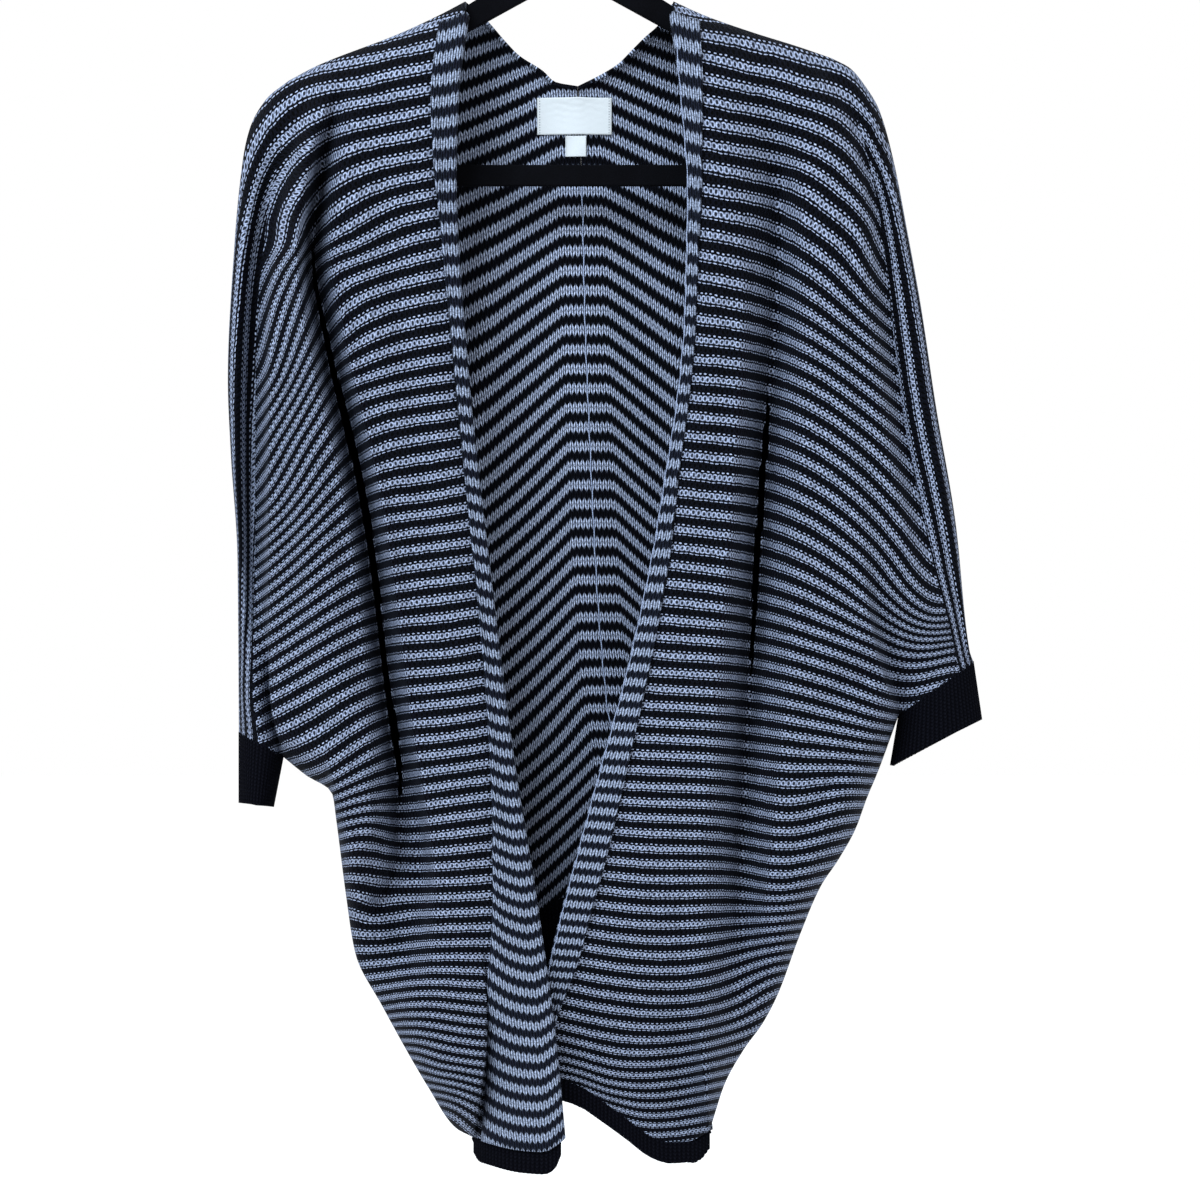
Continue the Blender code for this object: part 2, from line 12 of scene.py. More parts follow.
import bpy
import numpy as np
from bpy.props import FloatProperty, FloatVectorProperty, IntProperty, PointerProperty, StringProperty
from bpy.types import Operator, Panel, PropertyGroup
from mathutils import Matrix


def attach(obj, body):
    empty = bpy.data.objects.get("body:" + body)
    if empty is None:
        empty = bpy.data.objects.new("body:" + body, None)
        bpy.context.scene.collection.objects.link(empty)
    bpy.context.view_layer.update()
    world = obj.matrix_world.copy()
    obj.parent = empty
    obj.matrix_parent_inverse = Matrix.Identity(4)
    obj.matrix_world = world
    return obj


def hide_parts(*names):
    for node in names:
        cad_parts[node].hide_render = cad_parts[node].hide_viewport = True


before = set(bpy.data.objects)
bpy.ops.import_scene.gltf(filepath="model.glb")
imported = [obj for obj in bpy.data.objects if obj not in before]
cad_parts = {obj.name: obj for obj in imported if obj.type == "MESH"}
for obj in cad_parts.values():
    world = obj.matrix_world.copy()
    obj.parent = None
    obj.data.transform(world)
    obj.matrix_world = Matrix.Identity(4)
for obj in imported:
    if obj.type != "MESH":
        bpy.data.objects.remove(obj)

bl_info = {
    "name": "Batwing cardigan looks",
    "version": (1, 0, 0),
    "blender": (4, 5, 0),
    "location": "3D View > Sidebar > Cardigan",
    "description": "Knitted panels, bands, ribs, labels and hanger of a hung batwing cardigan",
    "category": "Object",
}

MM = 0.001

# Where the cardigan is seen from, and how much of the hanger's plane the picture spans.
EYE_ACROSS = 22.0
EYE_DROP = 551.0
EYE_DISTANCE = 1500.0
PICTURE_SPAN = 864.0
LAMP_COLOUR = (0.78, 0.89, 1.0)
LAMPS_AIM = (0.02, 0.0, -0.5)

# The knitted cloth and its seams.
WALL = 2.4
TRIM_WALL = 2.0
SEAM_GAP = 0.3
HALF_GAP = SEAM_GAP / 2
CENTRE_GAP = 0.02
SHOULDER_ROUND = 62.0
SIDE_ROUND = 34.0
SHOULDER_CURVE = 0.3
FOLD_START = 120.0
CUFF_BLEND = 150.0
OPEN_STAND = 12.0
NECK_DEPTH = 24.0
PANELS = (("right", "front"), ("right", "back"), ("left", "front"), ("left", "back"))

RIGHT = {
    "shoulder": ((-202, 177), (-181, 166), (-122, 143), (-94, 130), (-75, 120)),
    "overarm": ((-202, 177), (-218, 190), (-230, 211), (-235, 233), (-241, 292), (-246, 392),
        (-244, 443), (-239, 522), (-238, 647)),
    "ridge": ((-179, 166), (-196, 227), (-209, 284), (-216, 356), (-217, 443), (-217, 551), (-215, 623),
        (-206, 664)),
    "valley": ((-162, 158), (-181, 240), (-186, 299), (-173, 371), (-153, 454), (-142, 516), (-130, 620),
        (-120, 702), (-127, 744), (-158, 788)),
    "side": ((-206, 664), (-190, 677), (-171, 690), (-168, 709), (-161, 763), (-154, 806), (-135, 843),
        (-101, 903), (-82, 931), (-69, 938)),
    "hem": ((-69, 938), (-34, 947), (-18, 948), (-6, 941)),
    "edge": ((-75, 120), (-83, 189), (-85, 245), (-77, 378), (-62, 516), (-43, 668), (-27, 767),
        (-13, 868), (-6, 941)),
}
LEFT = {
    "shoulder": ((189, 161), (166, 153), (131, 142), (97, 130), (75, 120)),
    "overarm": ((189, 161), (202, 168), (213, 181), (223, 198), (233, 233), (243, 284), (253, 339),
        (264, 412), (278, 495), (288, 587), (291, 596)),
    "ridge": ((174, 156), (200, 205), (217, 277), (226, 371), (233, 426), (243, 474), (256, 522),
        (270, 562), (278, 592)),
    "crest": ((160, 152), (176, 260), (180, 371), (176, 495), (168, 573), (158, 640), (150, 731),
        (166, 792)),
    "valley": ((150, 148), (156, 263), (151, 335), (143, 436), (138, 522), (131, 608), (126, 695),
        (122, 767), (119, 826), (122, 873)),
    "side": ((237, 634), (222, 675), (214, 694), (206, 716), (193, 739), (181, 757), (166, 792),
        (150, 835), (139, 856), (126, 874), (112, 899), (105, 920), (101, 933)),
    "hem": ((101, 933), (86, 941), (72, 942), (59, 938), (40, 924), (22, 911), (7, 901), (-8, 896),
        (-27, 893)),
    "edge": ((75, 120), (83, 190), (88, 258), (86, 348), (68, 488), (48, 588), (19, 696), (-7, 795),
        (-23, 868), (-27, 893)),
}
NECKLINE = {
    "right": ((6, 181), (-10, 178), (-19, 170), (-36, 159), (-45, 150), (-60, 133), (-75, 120)),
    "left": ((6, 181), (22, 173), (35, 165), (45, 155), (54, 146), (64, 137), (75, 120)),
}
BACK_HEM = {
    "right": ((38, 748), (1, 762), (-29, 782), (-44, 840), (-54, 905), (-69, 938)),
    "left": ((38, 748), (55, 764), (73, 798), (88, 856), (101, 933)),
}
CENTRE_SEAM = ((6, 181), (9, 255), (11, 345), (15, 446), (20, 546), (27, 626), (33, 662), (38, 748))
CUFFS = {
    "right": {
        "seam": ((-238, 647), (-206, 664)), "end": ((-238, 697), (-213, 700)), "half_depth": (38, 40),
    },
    "left": {"seam": ((291, 596), (237, 634)), "end": ((297, 637), (231, 670)), "half_depth": (27, 29)},
}

# How far each guide line stands off the seams' plane: in front, and behind.
# name: (place on the top edge, place on the lower edge, forward, backward)
RIGHT_GUIDES = {
    "overarm": (0.00, 0.00, 0, 0), "arm_crest": (0.05, 0.20, 22, 20), "arm_valley": (0.12, 0.47, 17, 19),
    "arm_wall": (0.16, 0.72, 24, 22), "ridge": (0.20, 1.00, 44, 32), "bulge": (0.28, 1.28, 55, 40),
    "valley": (0.36, 1.58, 15, 18), "body_crest": (0.45, 1.73, 46, 37), "body": (0.70, 2.00, 50, 40),
    "inner": (0.86, 2.35, 47, 38), "edge": (1.00, 3.00, 43, 33),
}
LEFT_GUIDES = {
    "overarm": (0.00, 0.00, 0, 0), "arm_crest": (0.05, 0.14, 22, 20), "arm_valley": (0.10, 0.28, 19, 21),
    "arm_wall": (0.13, 0.38, 28, 24), "ridge": (0.16, 0.50, 40, 30), "bulge": (0.24, 1.00, 50, 38),
    "slope": (0.30, 1.35, 48, 36), "crest": (0.36, 1.58, 44, 34), "valley": (0.45, 1.80, 20, 20),
    "body": (0.66, 2.00, 50, 40), "inner": (0.84, 2.45, 46, 38), "edge": (1.00, 3.00, 40, 33),
}
HEM_FORWARD = {"right": 52.0, "left": 24.0}
BACK_HEM_BACKWARD = 36.0

# Soft creases laid over the main folds: (half width, height, points as (across, drop)). A negative height is
# a trough. The fronts' follow what shows, and the backs have their own of the same kinds.
CREASES = {
    ("right", "front"): (
        (6.5, -28.0, ((-177, 215), (-186, 299), (-174, 371), (-154, 454), (-143, 516), (-131, 620),
            (-121, 690))),
        (7, 14.0, ((-188, 215), (-197, 299), (-185, 371), (-165, 454), (-154, 516), (-142, 620),
            (-132, 680))),
        (7, 12.0, ((-165, 205), (-174, 290), (-162, 371), (-142, 454), (-131, 516), (-119, 620),
            (-109, 680))),
        (7, -16.0, ((-214, 240), (-226, 330), (-228, 430), (-227, 520), (-225, 610))),
        (6, -16.0, ((-133, 600), (-123, 680), (-122, 730), (-136, 768), (-158, 788))),
        (9, 9.0, ((-156, 600), (-143, 670), (-142, 712), (-160, 748))),
        (9, 4.5, ((-150, 160), (-156, 250), (-140, 380), (-118, 520))),
        (8, -4.0, ((-128, 165), (-132, 270), (-112, 400), (-96, 560))),
        (10, 3.5, ((-104, 190), (-104, 320), (-88, 470), (-74, 640))),
        (6, -3.0, ((-205, 330), (-206, 430), (-202, 520), (-192, 610))),
        (7, 4.0, ((-200, 420), (-190, 520), (-176, 600), (-160, 660))),
        (6, -4.5, ((-205, 640), (-180, 640), (-155, 655), (-135, 690))),
        (6, -4.0, ((-160, 730), (-140, 760), (-120, 800), (-92, 860))),
        (7, 3.5, ((-150, 700), (-128, 730), (-104, 770), (-80, 830))),
        (9, -3.5, ((-60, 700), (-64, 790), (-56, 870), (-44, 930))),
        (8, -2.6, ((-228, 240), (-233, 350), (-232, 470), (-226, 610))),
    ),
    ("left", "front"): (
        (8, -22.0, ((152, 250), (150, 335), (142, 430), (136, 510), (130, 608), (125, 700), (122, 800))),
        (10, 9.0, ((172, 290), (170, 380), (164, 480), (158, 580), (150, 680))),
        (8, 6.0, ((128, 290), (124, 380), (118, 480), (112, 600), (106, 700))),
        (9, -5.0, ((124, 180), (133, 290), (136, 400), (128, 520), (112, 640))),
        (5, -6.0, ((219, 290), (233, 390), (246, 470), (266, 560))),
        (8, -4.5, ((118, 160), (124, 260), (118, 380), (104, 520))),
        (9, 4.0, ((136, 170), (140, 290), (130, 420), (118, 560))),
        (9, 3.5, ((100, 190), (104, 320), (88, 470), (60, 640))),
        (7, -4.0, ((196, 240), (206, 360), (214, 450), (232, 540))),
        (6, 3.5, ((206, 250), (214, 350), (224, 430), (246, 520))),
        (7, -5.0, ((250, 590), (226, 600), (200, 612), (172, 640))),
        (6, 4.5, ((250, 575), (224, 580), (196, 588), (170, 604))),
        (6, -4.0, ((222, 640), (200, 668), (176, 700), (158, 760))),
        (8, -3.5, ((90, 650), (84, 740), (78, 830), (74, 910))),
        (9, 3.5, ((60, 680), (48, 770), (40, 860), (30, 905))),
        (8, -3.0, ((22, 740), (8, 810), (-2, 870), (-6, 890))),
        (6, -2.4, ((240, 300), (250, 380), (262, 460), (278, 560))),
    ),
    ("right", "back"): (
        (10, -4.0, ((-52, 200), (-60, 330), (-72, 470), (-88, 620))),
        (9, 4.0, ((-96, 190), (-108, 320), (-118, 460), (-126, 600))),
        (8, -4.5, ((-200, 640), (-172, 652), (-148, 672), (-120, 720))),
        (7, 4.0, ((-196, 560), (-172, 600), (-152, 640), (-128, 700))),
        (8, -3.5, ((-150, 760), (-118, 800), (-92, 850), (-78, 900))),
        (8, -2.8, ((-210, 300), (-216, 400), (-214, 500), (-208, 600))),
    ),
    ("left", "back"): (
        (10, -4.0, ((62, 200), (74, 330), (84, 470), (92, 620))),
        (9, 4.0, ((104, 190), (112, 320), (110, 460), (104, 600))),
        (8, -4.5, ((250, 590), (220, 606), (190, 628), (160, 670))),
        (7, 4.0, ((236, 540), (206, 566), (178, 600), (150, 650))),
        (8, -3.5, ((176, 740), (150, 780), (124, 820), (104, 870))),
        (8, -2.8, ((206, 260), (216, 350), (230, 440), (250, 530))),
    ),
}

CREASE_POINTS = 25
# Creases fade out towards the overarm (a share of the width), the inner edge, the top and the foot.
CREASE_QUIET = (0.06, 14, 50, 40)

# The middle of the light rings lies this much of a stripe above the numbers below.
LIGHT_MIDDLE = 0.1
LAST_STRIPE = 65
# Stripe lines on the fronts: stripe number, and where it runs as (across, drop), from the front edge out.
STRIPES = {
    "right": (
        (0.35, ((-97, 136), (-135, 147))),
        (1.35, ((-101, 152), (-130, 158), (-153, 163), (-174, 167), (-199, 175), (-217, 188))),
        (2.35, ((-101, 167), (-153, 179), (-190, 186), (-208, 197), (-222, 214), (-232, 239),
            (-237, 279))),
        (3.35, ((-101, 183), (-153, 193), (-185, 204), (-202, 216), (-217, 235), (-226, 260),
            (-232, 298))),
        (4.35, ((-101, 198), (-147, 208), (-180, 219), (-199, 234), (-212, 254), (-220, 279),
            (-223, 298))),
        (5.35, ((-102, 214), (-151, 224), (-180, 239), (-197, 259), (-207, 285), (-210, 298))),
        (6.35, ((-102, 230), (-147, 240), (-174, 254), (-191, 275), (-199, 298))),
        (8.98, ((-85, 265), (-122, 273), (-155, 290), (-186, 309), (-202, 347), (-216, 389))),
        (16.08, ((-77, 371), (-115, 378), (-144, 387), (-166, 398), (-192, 438), (-217, 479))),
        (23.0, ((-68, 465), (-108, 473), (-148, 482), (-183, 510), (-217, 540))),
        (31.87, ((-55, 577), (-94, 584), (-134, 588), (-175, 606), (-215, 628))),
        (37.1, ((-48, 640), (-90, 647), (-127, 652), (-150, 663), (-178, 680))),
        (41.4, ((-40, 690), (-83, 696), (-121, 701))),
        (43.2, ((-127, 720), (-146, 716), (-162, 719))),
        (47.94, ((-27, 767), (-72, 771), (-118, 773), (-142, 776), (-160, 770))),
        (54.85, ((-17, 839), (-58, 842), (-101, 838), (-137, 842), (-148, 844))),
        (61.5, ((-11, 891), (-50, 895), (-94, 887), (-113, 881))),
        (67.4, ((-6, 942), (-36, 948), (-65, 939), (-88, 921))),
    ),
    "left": (
        (1.35, ((99, 145), (122, 149), (149, 155), (171, 161), (193, 167), (207, 175), (218, 190),
            (228, 210))),
        (2.35, ((99, 160), (133, 169), (171, 179), (191, 184), (206, 193), (219, 210), (228, 232),
            (236, 257))),
        (3.35, ((99, 176), (142, 185), (173, 194), (195, 203), (208, 216), (219, 236), (227, 254))),
        (4.35, ((99, 191), (142, 200), (173, 209), (193, 219), (207, 232), (218, 248), (230, 276))),
        (5.35, ((99, 208), (142, 216), (171, 225), (191, 236), (205, 250), (222, 273))),
        (6.35, ((99, 223), (142, 231), (170, 239), (189, 251), (205, 265), (218, 282))),
        (7.35, ((99, 239), (142, 248), (166, 255), (185, 268), (201, 281))),
        (8.35, ((99, 256), (142, 264), (162, 272), (180, 284), (222, 330))),
        (15.92, ((83, 371), (115, 374), (147, 381), (179, 395), (233, 436))),
        (22.8, ((71, 465), (104, 469), (140, 474), (178, 490), (220, 524), (263, 562))),
        (28.7, ((57, 542), (94, 546), (135, 553), (179, 567), (220, 584), (276, 589))),
        (32.27, ((48, 588), (86, 591), (131, 595), (179, 607), (242, 627))),
        (40.97, ((20, 690), (72, 693), (126, 697), (158, 703), (198, 695))),
        (46.23, ((7, 745), (65, 751), (122, 752), (151, 757), (179, 752))),
        (55.7, ((-18, 839), (36, 850), (94, 850), (122, 842), (148, 828))),
        (62.26, ((-27, 891), (22, 902), (65, 907), (104, 900))),
        (66.8, ((7, 918), (50, 938), (94, 936))),
    ),
}
# On each sleeve's narrow tube the stripes run lengthways: (share of the sleeve's length, stripe number).
ARM_STRIPES = {
    "overarm": ((0, 1.2), (0.12, 1.8), (0.25, 1.9), (0.5, 2.2), (1, 2.5)),
    "arm_crest": ((0, 1.5), (0.12, 2.9), (0.25, 3.5), (0.5, 3.8), (1, 4.2)),
    "arm_valley": ((0, 1.8), (0.12, 4.0), (0.25, 4.8), (0.5, 5.2), (1, 6)),
}
ARM_TURN = (0.08, 0.3)
# On the back they fall away from the centre seam: (drop at the seam, stripe number) and (drop, slope).
BACK_STRIPES = ((181, 0.07), (400, 15.46), (600, 30.16), (750, 42.16), (960, 59.7))
BACK_SLOPES = ((120, 0.48), (250, 0.55), (330, 0.70), (400, 0.85), (480, 0.97), (960, 1.0))
BACK_LEVEL = 15.0
BACK_REACH = 110.0
# The turned-out bands show the cloth's other face: (drop, stripe number) down their middle, and how far the
# stripes rise from there to the fold and to the free edge, in millimetres.
BAND_STRIPES = {
    "right": ((120, -1.1), (143, 0.39), (222, 5.39), (299.5, 10.39), (373.7, 15.39), (442, 20.39),
        (504, 25.39), (566, 30.39), (626, 35.39), (685, 40.39), (742, 45.39), (797, 50.39), (854, 55.39),
        (945, 63.6)),
    "left": ((118, -0.6), (134.6, 0.39), (217, 5.39), (298, 10.39), (371.5, 15.39), (440, 20.39),
        (504.7, 25.39), (566, 30.39), (620.6, 35.39), (672.5, 40.39), (722, 45.39), (769, 50.39),
        (811.4, 55.39), (834.5, 58.39), (895, 65.7)),
}
BAND_SAG = (3.0, 5.0)
BAND_WIDEST = 60.0
BAND_WIDTHS = {
    "right": ((0, 18), (0.1, 18), (0.17, 14), (0.24, 9), (0.34, 7.5), (0.5, 9), (0.6, 11), (0.7, 17),
        (0.78, 27), (0.86, 40), (0.93, 52), (1, 65)),
    "left": ((0, 19), (0.1, 16), (0.18, 11), (0.3, 6.5), (0.42, 7), (0.52, 11), (0.66, 14), (0.8, 18),
        (0.88, 17), (0.95, 10), (1, 6)),
}
BAND_LIFT = 1.1
BAND_ROLL = 1.2

# Ribbed edges and sewn-on pieces.
FRONT_RIBS = {
    "right": ((0, 9), (0.03, 14), (0.08, 16.5), (0.9, 16.5), (0.97, 14), (1, 10)),
    "left": ((0, 11), (0.04, 15), (0.94, 15), (1, 11)),
}
BACK_RIBS = {
    "right": {
        "height": ((0, 15), (0.2, 30), (0.6, 56), (1, 56)),
        "lean": ((0, 0.4), (0.08, 1.2), (0.5, 1.2), (0.75, 0.1), (1, 0)),
    },
    "left": {
        "height": ((0, 15), (0.7, 18), (0.85, 40), (1, 56)),
        "lean": ((0, 0.9), (0.1, 1.2), (0.75, 1.1), (0.92, 0.1), (1, 0)),
    },
}
RIB_LAP = 0.5
CUFF_LAP = 1.0
LABEL_SIZE = (54.0, 26.0)
LABEL_CENTRE = (3.5, 201.0)
TAG_SIZE = (15.0, 15.0)
TAG_CENTRE = (4.5, 222.5)
LABEL_WALL = 0.8
LABEL_CLEAR = 0.7
RIB_FULLNESS = 0.7
RIB_STITCH = 2.6

# Grid spacing of the fine meshes, in millimetres.
COLUMN_SPACING = 2.7
ROW_COUNT = 236
SHEET_SHORTEST = 0.011
THREAD_TOP = 232.0
SEAM_THREAD = 0.42
EDGE_THREAD = 0.26
STITCH_LENGTH = 3.2
RIB_SPACING = 0.55
RIB_LEVELS = 14
BAND_STEPS = 14
CUFF_TURNS = 420
CUFF_LEVELS = 22


# ---------------------------------------------------------------- lines and surfaces


def smooth(stops, values, places):
    """A monotone cubic through the rows of values at stops, read at places: it never overshoots a row."""
    stops = np.asarray(stops, float)
    values = np.asarray(values, float)
    flat = values.reshape(len(stops), -1)
    step = np.diff(stops)[:, None]
    rise = np.diff(flat, axis=0) / step
    slope = np.zeros((len(stops), rise.shape[1]))
    same_way = rise[:-1] * rise[1:] > 0
    total = np.where(same_way, rise[:-1] + rise[1:], 1.0)
    slope[1:-1] = np.where(same_way, 2 * rise[:-1] * rise[1:] / total, 0.0)
    slope[0] = rise[0]
    slope[-1] = rise[-1]
    index = np.clip(np.searchsorted(stops, places, side="right") - 1, 0, len(step) - 1)
    width = step[index]
    f = ((places - stops[index]) / width[:, 0])[:, None]
    result = (
        flat[index] * (1 + 2 * f) * (1 - f) ** 2
        + slope[index] * width * f * (1 - f) ** 2
        + flat[index + 1] * f * f * (3 - 2 * f)
        + slope[index + 1] * width * f * f * (f - 1)
    )
    return result if values.ndim > 1 else result[:, 0]


def read(table, places):
    """A two-column table read at places by the monotone cubic."""
    stops, values = np.array(table, float).T
    places = np.asarray(places, float)
    return smooth(stops, values, np.clip(places.ravel(), stops[0], stops[-1])).reshape(places.shape)


def run_of(points):
    """Distance travelled at each point of a line, or down each line of a grid's first axis."""
    steps = np.linalg.norm(np.diff(points, axis=0), axis=-1)
    return np.concatenate((0 * steps[:1], np.cumsum(steps, axis=0)))


def along(table, shares):
    """Points on the smooth line through a table's rows, at these shares of its length."""
    rows = np.asarray(table, float)
    chord = run_of(rows)
    dense = smooth(chord, rows, np.linspace(0, chord[-1], 500))
    share = run_of(dense) / run_of(dense)[-1]
    return np.stack([np.interp(shares, share, dense[:, k]) for k in range(rows.shape[1])], axis=1)


def quarter_round(share):
    """Height of a quarter circle over the share of the way in from its foot."""
    return np.sqrt(1 - (1 - np.clip(share, 0, 1)) ** 2)


def ease(share):
    """Smoothstep: 3s^2 - 2s^3 of the share."""
    share = np.clip(share, 0, 1)
    return share * share * (3 - 2 * share)


def in_place(across, drop, forward):
    """Seen positions turned to real ones, in metres: nearer cloth is drawn in towards the line of sight."""
    nearer = 1 - forward / EYE_DISTANCE
    x = EYE_ACROSS + (across - EYE_ACROSS) * nearer
    z = -(EYE_DROP + (drop - EYE_DROP) * nearer)
    return np.stack(np.broadcast_arrays(x, -forward, z), axis=-1) * MM


def oval(side, level, turns):
    """Points (across, drop, forward) round a cuff's oval: turn 0 is its outer end, a half turn its inner."""
    cuff = CUFFS[side]
    outer, inner = (np.array(end, float) for end in cuff[("seam", "end")[level]])
    flat = (outer + inner) / 2 + (outer - inner) / 2 * np.cos(turns)[:, None]
    return np.column_stack((flat, cuff["half_depth"][level] * np.sin(turns)))


def lower_edge(lines, side, hem, hem_forward, places):
    """A sheet's lower edge (across, drop, off-plane): cuff seam from 0 to 1, side seam to 2, hem to 3."""
    cuff = oval(side, 0, np.clip(places, 0, 1) * math.pi)
    flat = np.where(
        (places < 1)[:, None], cuff[:, :2],
        np.where((places < 2)[:, None], along(lines["side"], np.clip(places - 1, 0, 1)),
                 along(hem, np.clip(places - 2, 0, 1))),
    )
    on_hem = np.where(places < 2, 0.0, hem_forward * quarter_round(places - 2))
    stand = np.where(places < 1, cuff[:, 2], on_hem)
    return np.column_stack((flat, stand))


def guide_lines(lines, guides, inner_line, shares):
    """Every guide line of a half at the same shares of its length, in order from the overarm inwards."""
    overarm, ridge, valley = (along(lines[name], shares) for name in ("overarm", "ridge", "valley"))
    inner = along(inner_line, shares)
    found = {
        "overarm": overarm,
        "arm_crest": overarm + (ridge - overarm) * 0.30,
        "arm_valley": overarm + (ridge - overarm) * 0.72,
        "arm_wall": overarm + (ridge - overarm) * 0.90,
        "ridge": ridge,
        "bulge": ridge + (valley - ridge) * 0.45,
        "valley": valley,
        "body_crest": valley + (inner - valley) * 0.18,
        "body": valley + (inner - valley) * 0.5,
        "inner": valley + (inner - valley) * 0.78,
        "edge": inner,
    }
    if "crest" in lines:
        crest = along(lines["crest"], shares)
        found["crest"] = crest
        found["bulge"] = ridge + (crest - ridge) * 0.40
        found["slope"] = ridge + (crest - ridge) * 0.72
    return np.stack([found[name] for name in guides])


def crease_height(creases, across, drop):
    """Sum of soft ridges, each height x exp(-(distance / half width)^2) x sin(pi x share along it)^0.6."""
    total = np.zeros(across.shape)
    for half_width, height, line in creases:
        points = along(line, np.linspace(0, 1, CREASE_POINTS))
        away = np.full(across.shape, np.inf)
        share = np.zeros(across.shape)
        for k, (start, end) in enumerate(zip(points[:-1], points[1:])):
            step = end - start
            on = np.clip(((across - start[0]) * step[0] + (drop - start[1]) * step[1]) / (step @ step), 0, 1)
            gap = np.hypot(across - start[0] - on * step[0], drop - start[1] - on * step[1])
            share = np.where(gap < away, (k + on) / (len(points) - 1), share)
            away = np.minimum(away, gap)
        fade = np.sin(math.pi * np.clip(share, 0.02, 0.98)) ** 0.6
        total += height * np.exp(-((away / half_width) ** 2)) * fade
    return total


def sheet_grid(side, facing):
    """One panel: its outer points (column, row, xyz), seen positions, and its columns' and rows' places.

    The guide lines are joined across by a monotone cubic, drawn to the panel's top and lower edge at their
    ends, and stood off the seams' plane by their own distance, which rounds down to nothing at the seams.
    """
    lines, guides = (RIGHT, RIGHT_GUIDES) if side == "right" else (LEFT, LEFT_GUIDES)
    names = list(guides)
    front = facing == "front"
    inner_line = lines["edge"] if front else CENTRE_SEAM
    hem = lines["hem"] if front else BACK_HEM[side][::-1]
    hem_forward = HEM_FORWARD[side] if front else BACK_HEM_BACKWARD
    shares = np.concatenate(([0.0, 0.0002], np.linspace(0.004, 0.996, ROW_COUNT - 4), [0.9996, 1.0]))
    base = guide_lines(lines, guides, inner_line, shares)
    stand = np.array([guides[name][2 if front else 3] for name in names], float)
    place_top = np.array([guides[name][0] for name in names])
    place_low = np.array([guides[name][1] for name in names])
    if not front:
        place_top = np.clip(np.where(place_top > 0.6, 1 + (place_top - 0.7) / 0.3, place_top), 0, 2)
        place_low = np.where(place_low > 2, 2 + np.maximum(place_low - 2, 0) ** 0.6, place_low)

    gaps = np.linalg.norm(np.diff(base, axis=0), axis=2).mean(axis=1)
    stops = np.concatenate(([0.0], np.cumsum(gaps + 0.5 * np.abs(np.diff(stand)))))
    places = [0.0, stops[1] * 0.004, stops[1] * 0.04, stops[1] * 0.1]
    for start, end in zip(stops[:-1], stops[1:]):
        count = max(4, round((end - start) / COLUMN_SPACING))
        places.extend(start + (end - start) * (np.arange(count) + 1) / count)
    corner = names.index("body")
    places.append(stops[corner] + (stops[corner + 1] - stops[corner]) * 0.004)
    places = np.array(sorted(places))

    flat = smooth(stops, base.reshape(len(names), -1), places).reshape(len(places), len(shares), 2)
    off = smooth(stops, stand, places)
    first = places < stops[1]
    off[first] = stand[1] * quarter_round(places[first] / stops[1])
    tops = np.interp(places, stops, place_top)
    lows = np.interp(places, stops, place_low)

    head = along(lines["shoulder"], np.clip(tops, 0, 1))
    head_off = np.zeros(len(places))
    if not front:
        neck = along(NECKLINE[side][::-1], np.clip(tops - 1, 0, 1))
        head = np.where((tops > 1)[:, None], neck, head)
        head_off = NECK_DEPTH * quarter_round(np.clip(tops - 1, 0, 1))
    foot = lower_edge(lines, side, hem, hem_forward, lows)

    t = shares[None, :, None]
    flat = flat + (1 - t) ** 3 * (head - flat[:, 0])[:, None] + t ** 3 * (foot[:, :2] - flat[:, -1])[:, None]
    run = run_of(flat.transpose(1, 0, 2)).T
    left_over = run[:, -1:] - run
    rise = quarter_round(run / SHOULDER_ROUND)
    round_fall = 1 - quarter_round(left_over / SIDE_ROUND)
    soft_fall = ease(1 - left_over / CUFF_BLEND)
    seam_like = np.clip(1 - foot[:, 2] / OPEN_STAND, 0, 1)[:, None]
    fall = seam_like * round_fall + (1 - seam_like) * soft_fall
    plain = stand[-2] * quarter_round(places / (stops[-1] * SHOULDER_CURVE))[:, None]
    stood = plain + (off[:, None] - plain) * ease(run / FOLD_START)
    creased = crease_height(CREASES[side, facing], flat[..., 0], flat[..., 1])
    quiet_seam, quiet_edge, quiet_top, quiet_foot = CREASE_QUIET
    quiet = ease(places / stops[-1] / quiet_seam)[:, None] * ease((stops[-1] - places) / quiet_edge)[:, None]
    creased = creased * quiet * ease(run / quiet_top) * ease(left_over / quiet_foot)
    depth = head_off[:, None] * (1 - rise) + (stood + creased) * rise
    depth = depth * (1 - fall) + foot[:, 2:] * fall
    depth = HALF_GAP + np.maximum(depth, 0)
    points = in_place(flat[..., 0], flat[..., 1], depth if front else -depth)
    if not front:
        away = -1 if side == "right" else 1
        points[:, :, 0] += away * CENTRE_GAP * MM * ease(places / stops[-1])[:, None]
    arm = int(np.searchsorted(places, stops[names.index("arm_valley")] - 1e-9))
    return {"points": points, "flat": flat, "places": places, "stops": stops, "names": names,
            "shares": shares, "lows": lows, "arm": arm}


def facing_out(points, turn):
    """Unit vectors square to a grid: columns turned towards rows, times turn (1 or -1)."""
    square = np.cross(np.gradient(points, axis=0), np.gradient(points, axis=1)) * turn
    return square / np.maximum(np.linalg.norm(square, axis=2, keepdims=True), 1e-12)


def keep_to_side(points, facing):
    """Points kept half a seam gap off the seams' plane, on their own side."""
    if facing == "front":
        points[..., 1] = np.minimum(points[..., 1], -HALF_GAP * MM)
    else:
        points[..., 1] = np.maximum(points[..., 1], HALF_GAP * MM)
    return points


# ---------------------------------------------------------------- the knitting's count


